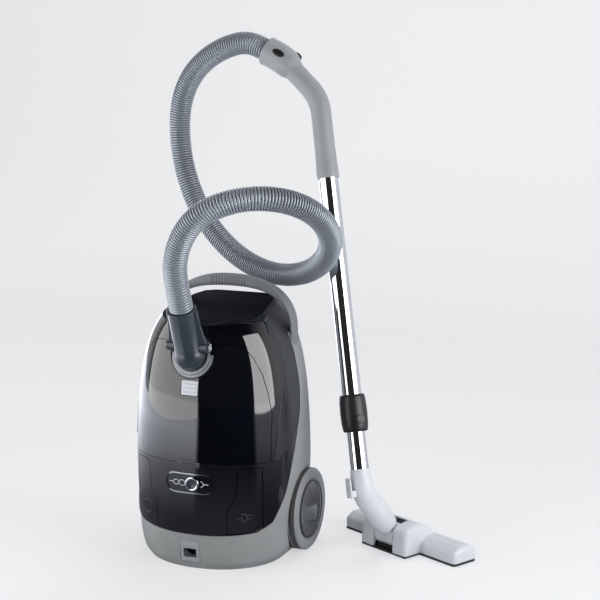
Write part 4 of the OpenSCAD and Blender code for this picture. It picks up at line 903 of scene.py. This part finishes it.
# Three rows of grip dots on the cover's latch
DOT_ROWS, DOT_COLUMNS, DOT_GAP_X, DOT_GAP_Z, DOT_RISE = 3, 5, 0.0052, 0.0068, 0.0062
latch = FINE["cover_latch"]
latch_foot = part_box("cover_latch")[0][2]
dots = []
for row in range(DOT_ROWS):
    for column in range(DOT_COLUMNS):
        x = (column - DOT_COLUMNS // 2) * DOT_GAP_X
        z = latch_foot + DOT_RISE + row * DOT_GAP_Z
        hit, place, normal, _face = latch.ray_cast(Vector((x, -0.3, z)), Vector((0, 1, 0)))
        if hit:
            dots.append(turned("latch_dot_%d_%d" % (row, column), standing_at(place, normal), (
                (0.0011, -0.0004), (0.0011, 0.0002), (0.0008, 0.0004)), 12, ring_abs,
                "cover_latch"))
joined(dots, "latch_dots")

# Long ridges down both sides of the elbow, which run out into its pivots
for side, name in ((-1, "elbow_fin_left"), (1, "elbow_fin_right")):
    corners = ((0.019, 0.0875), (0.0285, 0.0875), (0.0300, 0.062), (0.0325, 0.040), (0.0365, 0.025),
               (0.0370, 0.010), (0.030, 0.004), (0.018, 0.004))
    fin = primitive(name, bpy.ops.mesh.primitive_circle_add, vertices=len(corners), radius=0.01,
                    fill_type="NGON")
    for v, (x, z) in zip(fin.data.vertices, corners):
        v.co = (side * x, 0, z)
    apply_modifier(fin, "SOLIDIFY", thickness=0.006, offset=0.0)
    apply_modifier(fin, "BEVEL", width=0.0016, segments=3, limit_method="ANGLE")
    fin.data.transform(ELBOW_FRAME)
    outwards(fin)
    smoothed(fin, 40)
    dressed(fin, slate_abs, "hose_elbow")
    for k in (-1, 0, 1):
        bead("elbow_ridge%s_%d" % (name[9:], k + 1), [
            ELBOW_FRAME @ Vector((side * 0.0405, y, 0.016 + 0.0036 * k))
            for y in np.linspace(-0.0052, 0.0052, 7)], 0.0009, light_abs,
            "elbow_button" + name[9:])
ring_line("elbow_rim", ELBOW_FRAME @ Matrix.Translation((0, 0, ELBOW_LEN - 0.0012)), 0.0243,
          0.0014, slate_abs, "hose_elbow")

# The floor head is softened all over, as its moulded hood is
head = copied("head_shell", "head_shell_soft")
apply_modifier(head, "REMESH", mode="VOXEL", voxel_size=0.0015)
apply_modifier(head, "SMOOTH", factor=0.5, iterations=14)
apply_modifier(head, "DECIMATE", ratio=0.4)
smoothed(head, 60)
dressed(head, pale_abs, "head_shell", ["head_shell"])

# Lips on both sides of the cover's seam, over the hinge
SEAM, LIP_HALF_W = 0.192, 0.046
for name, low_z, high_z, material, node in (
        ("seam_lip_panel", SEAM - 0.0046, SEAM - 0.0004, panel_black, "rear_panel"),
        ("seam_lip_cover", SEAM + 0.0004, SEAM + 0.0048, gloss_black, "dust_cover")):
    lip = primitive(name, bpy.ops.mesh.primitive_grid_add, x_subdivisions=48, y_subdivisions=4,
                    size=1)
    for v in lip.data.vertices:
        v.co = front_skin(2 * LIP_HALF_W * v.co.x, low_z + (v.co.y + 0.5) * (high_z - low_z), 0.0005)
    outwards(lip)
    apply_modifier(lip, "SOLIDIFY", thickness=0.0014, offset=-1.0)
    smoothed(lip, 40)
    dressed(lip, material, node)

# ---- Grip, neck and lock collar -----------------------------------------------------------

def rounded_path(corners, radii, step=0.0025):
    """Points along straight runs with a round bend of a given radius at each inner corner."""
    points = [corners[0]]
    for before, corner, after, radius in zip(corners, corners[1:], corners[2:], radii):
        a, b = (before - corner).normalized(), (after - corner).normalized()
        half = a.angle(b) / 2
        reach = radius / math.tan(half)
        middle = corner + (a + b).normalized() * radius / math.sin(half)
        start, end = corner + a * reach, corner + b * reach
        turn = math.pi - 2 * half
        count = max(3, int(turn * radius / step))
        first, last = start - middle, end - middle
        points += [middle + (first * math.sin(turn * (1 - k / count))
                             + last * math.sin(turn * k / count)) / math.sin(turn)
                   for k in range(count + 1)]
    points.append(corners[-1])
    full = [points[0]]
    for a, b in zip(points, points[1:]):
        count = max(1, round((b - a).length / step))
        full += [a.lerp(b, (k + 1) / count) for k in range(count)]
    return full


def profiled_tube(name, path, from_start, from_end, sides=48):
    """A smooth tube, from tables of radius at a distance from its start and then from its end."""
    run = distances(path)
    along, radii = zip(*from_start, *((run[-1] - back, radius) for back, radius in from_end))
    piece = swept(name, path, [float(r) for r in np.interp(run, along, radii)], sides)
    return smoothed(piece, 50)


grip_corners = [GRIP_FRAME @ Vector((0, 0, rise)) for rise in (0, GRIP_RISE)]
grip_corners += [SOCKET_AT, SOCKET_AT + SOCKET_OUT * SOCKET_LEN]
grip_path = rounded_path(grip_corners, (0.085, 0.10))
grip = profiled_tube("grip_body", grip_path, (
    (0, 0.0192), (0.0012, 0.0200), (0.021, 0.0200), (0.0225, 0.0194), (0.060, 0.0184),
    (0.115, 0.0183), (0.150, 0.0190), (0.190, 0.0184),
), (
    (0.066, 0.0188), (0.060, 0.0215), (0.054, 0.0242), (0.046, 0.0258), (0.030, 0.0262),
    (0.006, 0.0260), (0.0035, 0.0268), (0.001, 0.0266), (0, 0.0256),
))
dressed(grip, grip_grey, "grip_handle", ["grip_handle"])


def grip_pad(name, run_back, outward, half_long, half_wide, low, high, material, node,
             replaced=(), radius=0.0262):
    """An oval pad that follows the round of the grip's body, some way back from its mouth."""
    axis = SOCKET_OUT
    middle = SOCKET_AT + SOCKET_OUT * (SOCKET_LEN - run_back)
    out = (Vector(outward) - axis * Vector(outward).dot(axis)).normalized()
    across = axis.cross(out)
    pad = primitive(name, bpy.ops.mesh.primitive_grid_add, x_subdivisions=24, y_subdivisions=24,
                    size=2)
    for v in pad.data.vertices:
        u, w = v.co.x * math.sqrt(1 - v.co.y ** 2 / 2), v.co.y * math.sqrt(1 - v.co.x ** 2 / 2)
        rim = min(1.0, math.hypot(u, w))
        lift = low + (high - low) * math.sqrt(max(0.0, 1 - rim ** 4))
        angle = w * half_wide / radius
        v.co = (middle + axis * u * half_long
                + (radius + lift) * (math.cos(angle) * out + math.sin(angle) * across))
    outwards(pad)
    apply_modifier(pad, "SOLIDIFY", thickness=0.0015, offset=-1.0)
    smoothed(pad, 50)
    return dressed(pad, material, node, replaced)


slider_low, slider_high = (Vector(v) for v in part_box("relief_slider"))
slider_middle = (slider_low + slider_high) / 2
from_mouth = (SOCKET_AT + SOCKET_OUT * SOCKET_LEN - slider_middle).dot(SOCKET_OUT)
grip_pad("relief_slider_pad", from_mouth, slider_middle - SOCKET_AT, 0.010, 0.0075, -0.0006, 0.0022,
         charcoal, "relief_slider", ["relief_slider"])
grip_pad("relief_vent", 0.030, (0.35, -0.93, 0.3), 0.0125, 0.0075, -0.0008, 0.0004, black_nylon,
         "grip_handle")

NECK_FROM, NECK_TO = 0.0245, 0.040
neck_corners = [NECK_FRAME @ Vector((0, 0, NECK_FROM)), NECK_BEND,
                WAND_FRAME @ Vector((0, 0, NECK_TO))]
neck_path = rounded_path(neck_corners, (0.052,))
neck = profiled_tube("neck_body", neck_path, (
    (0, 0.0205), (0.0015, 0.0215), (0.012, 0.0218), (0.060, 0.0216), (0.085, 0.0208),
    (0.110, 0.0192),
), ((0.012, 0.0178), (0.001, 0.0174), (0, 0.0168)))
dressed(neck, pale_abs, "neck_elbow", ["neck_elbow"])


def block(name, frame_of, low_corner, high_corner, bevel, material, node):
    """A box between two corners of a local frame, with its edges rounded."""
    piece = primitive(name, bpy.ops.mesh.primitive_cube_add, size=1)
    low_corner, high_corner = Vector(low_corner), Vector(high_corner)
    piece.scale = high_corner - low_corner
    piece.location = (low_corner + high_corner) / 2
    settle(piece)
    apply_modifier(piece, "BEVEL", width=bevel, segments=3, limit_method="ANGLE")
    piece.data.transform(frame_of)
    outwards(piece)
    smoothed(piece, 40)
    return dressed(piece, material, node)


# Parking hook on the neck
for name, low, high in (
        ("park_hook_foot", (-0.008, 0.0150, -0.008), (0.008, 0.0260, 0.004)),
        ("park_hook", (-0.009, 0.0235, -0.009), (0.009, 0.0270, 0.026))):
    block(name, WAND_FRAME, low, high, 0.0012, pale_abs, "neck_elbow")

LOCK_FROM = 0.106
turned("lock_collar_body", WAND_FRAME, (
    (0.0195, LOCK_FROM), (0.0212, LOCK_FROM + 0.001), (0.0222, LOCK_FROM + 0.004),
    (0.0236, LOCK_FROM + 0.014), (0.0242, LOCK_FROM + 0.033), (0.0238, LOCK_FROM + 0.050),
    (0.0228, LOCK_FROM + 0.061), (0.0216, LOCK_FROM + 0.065), (0.0196, LOCK_FROM + 0.066),
), 48, black_nylon, "lock_collar", ["lock_collar"], 50)

# ---- Floor, light and background ----------------------------------------------------------

FLOOR_FRONT, FLOOR_BACK, FLOOR_HALF_W = -3.6, 3.4, 4.0
floor = primitive("studio_floor", bpy.ops.mesh.primitive_plane_add, size=2)
floor.scale = (FLOOR_HALF_W, (FLOOR_BACK - FLOOR_FRONT) / 2, 1)
floor.location = (0, (FLOOR_BACK + FLOOR_FRONT) / 2, 0)
settle(floor)
bpy.ops.object.mode_set(mode="EDIT")
bpy.ops.mesh.select_mode(type="EDGE")
bpy.ops.mesh.select_all(action="DESELECT")
bpy.ops.object.mode_set(mode="OBJECT")
for edge in floor.data.edges:
    edge.select = all(floor.data.vertices[i].co.y > 1 for i in edge.vertices)
bpy.ops.object.mode_set(mode="EDIT")
bpy.ops.mesh.extrude_region_move(TRANSFORM_OT_translate={"value": (0, 0, 4)})
bpy.ops.object.mode_set(mode="OBJECT")
apply_modifier(floor, "BEVEL", width=1.4, segments=16, limit_method="ANGLE")
smoothed(floor, 60)
# Seamless studio paper: dull and nearly white, it lights itself a little, more so far away
PAPER_GLOW = 0.62
paper, paper_shader = bare_finish("backdrop_paper", "#eceef0", 0.9)
floor.data.materials.append(paper)
ray = add_node(paper, "ShaderNodeLightPath")
reach = (add_node(paper, "ShaderNodeVectorMath", {"operation": "LENGTH"},
                  Vector=place_of(paper)), "Value")
glow = add_node(paper, "ShaderNodeEmission", None, Color=srgb("#f8f9fb"),
                Strength=ranged(paper, reach, 0.9, 3.2, 0.93, 1.20))
shown = mix_shaders(paper, maths(paper, "MULTIPLY", (ray, "Is Camera Ray"), PAPER_GLOW),
                    (paper_shader, "BSDF"), (glow, "Emission"))
# In gloss the paper shows painted light, a glow that is no lamp: a painted reflection brightest towards
# the key lamp, and painted shade where a black flag would lie in front, though no flag stands in the
# scene
PAINTED_SHADE_FROM, PAINTED_SHADE_TO = math.radians(-105), math.radians(-30)
KEY_WAY = (-0.7924, -0.6100, 0.0)
spot = add_node(paper, "ShaderNodeSeparateXYZ", None, Vector=place_of(paper))
bearing = maths(paper, "ARCTAN2", (spot, "Y"), (spot, "X"))
painted_flag_shade = maths(paper, "MULTIPLY", ranged(paper, bearing, PAINTED_SHADE_FROM - 0.03, PAINTED_SHADE_FROM + 0.03),
             ranged(paper, bearing, PAINTED_SHADE_TO + 0.05, PAINTED_SHADE_TO - 0.05))
dim = ranged(paper, reach, 0.4, 0.75, 0.24, 0.01)
near = ranged(paper, reach, 0.40, 1.45, 0.30, 3.3)
# Past the key lamp the painted glow falls back, as there the lamp itself is what gloss shows, and it
# falls back on the far side from that lamp too
ahead = (add_node(paper, "ShaderNodeVectorMath", {"operation": "DOT_PRODUCT"},
                  Vector=place_of(paper), i1=KEY_WAY), "Value")
past = ranged(paper, ahead, 1.74, 1.80, 1.0, 0.28)
side = ranged(paper, ahead, -0.3, 0.5, 0.25, 1.0)
bright = maths(paper, "MULTIPLY", side, maths(paper, "MULTIPLY", near, past))
sheen = add_node(paper, "ShaderNodeMix", {"data_type": "FLOAT"}, i0=painted_flag_shade, i2=bright, i3=dim)
painted_paper_reflection = add_node(paper, "ShaderNodeEmission", None, Color=srgb("#e6eaf4"),
                          Strength=(sheen, 0))
show(paper, mix_shaders(paper, (ray, "Is Glossy Ray"), shown, (painted_paper_reflection, "Emission")))
floor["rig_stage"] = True

# The studio: pale behind, dark above and on the camera's side, where gloss shows its blacks
world = bpy.data.worlds.new("studio")
bpy.context.scene.world = world
world.use_nodes = True
backdrop = world.node_tree.nodes["Background"]
ways = add_node(world, "ShaderNodeTexCoord")
split = add_node(world, "ShaderNodeSeparateXYZ", None, Vector=(ways, "Generated"))
behind = ranged(world, (split, "Y"), -0.1, 0.35, 0.03, 0.9, interpolation_type="SMOOTHSTEP")
under = ranged(world, (split, "Z"), 0.35, 0.8, 1.0, 0.1, interpolation_type="SMOOTHSTEP")
world_ray = add_node(world, "ShaderNodeLightPath")
strength = add_node(world, "ShaderNodeMix", {"data_type": "FLOAT"}, i0=(world_ray, "Is Camera Ray"),
                    i2=maths(world, "MULTIPLY", behind, under), i3=0.98)
backdrop.inputs["Color"].default_value = srgb("#f3f4f6")
world.node_tree.links.new(strength.outputs[0], backdrop.inputs["Strength"])

# Softboxes: name, place, the point it faces, width, height, power, and whether gloss shows it
LAMPS = (
    ("key_softbox", (-1.39, -1.07, 0.95), (0, 0, 0.95), 2.68, 2.0, 46, True),
    ("strip_softbox", (1.84, -0.29, 0.85), (0, 0, 0.85), 1.4, 1.5, 34, True),
    ("top_softbox", (0.1, 0.9, 2.5), (0, 0, 0.3), 1.6, 1.2, 30, False),
    ("front_fill", (0.6, -2.9, 1.4), (0, 0, 0.4), 1.6, 1.2, 7, False),
)
for name, place, aim_at, width, height, power, mirrored in LAMPS:
    data = bpy.data.lights.new(name, "AREA")
    data.shape = "RECTANGLE"
    data.size, data.size_y, data.energy = width, height, power
    lamp = bpy.data.objects.new(name, data)
    bpy.context.scene.collection.objects.link(lamp)
    lamp.location = place
    lamp.rotation_euler = (Vector(aim_at) - Vector(place)).to_track_quat("-Z", "Y").to_euler()
    lamp.visible_camera = False
    lamp.visible_glossy = mirrored

# ---- Sizes --------------------------------------------------------------------------------

low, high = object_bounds()
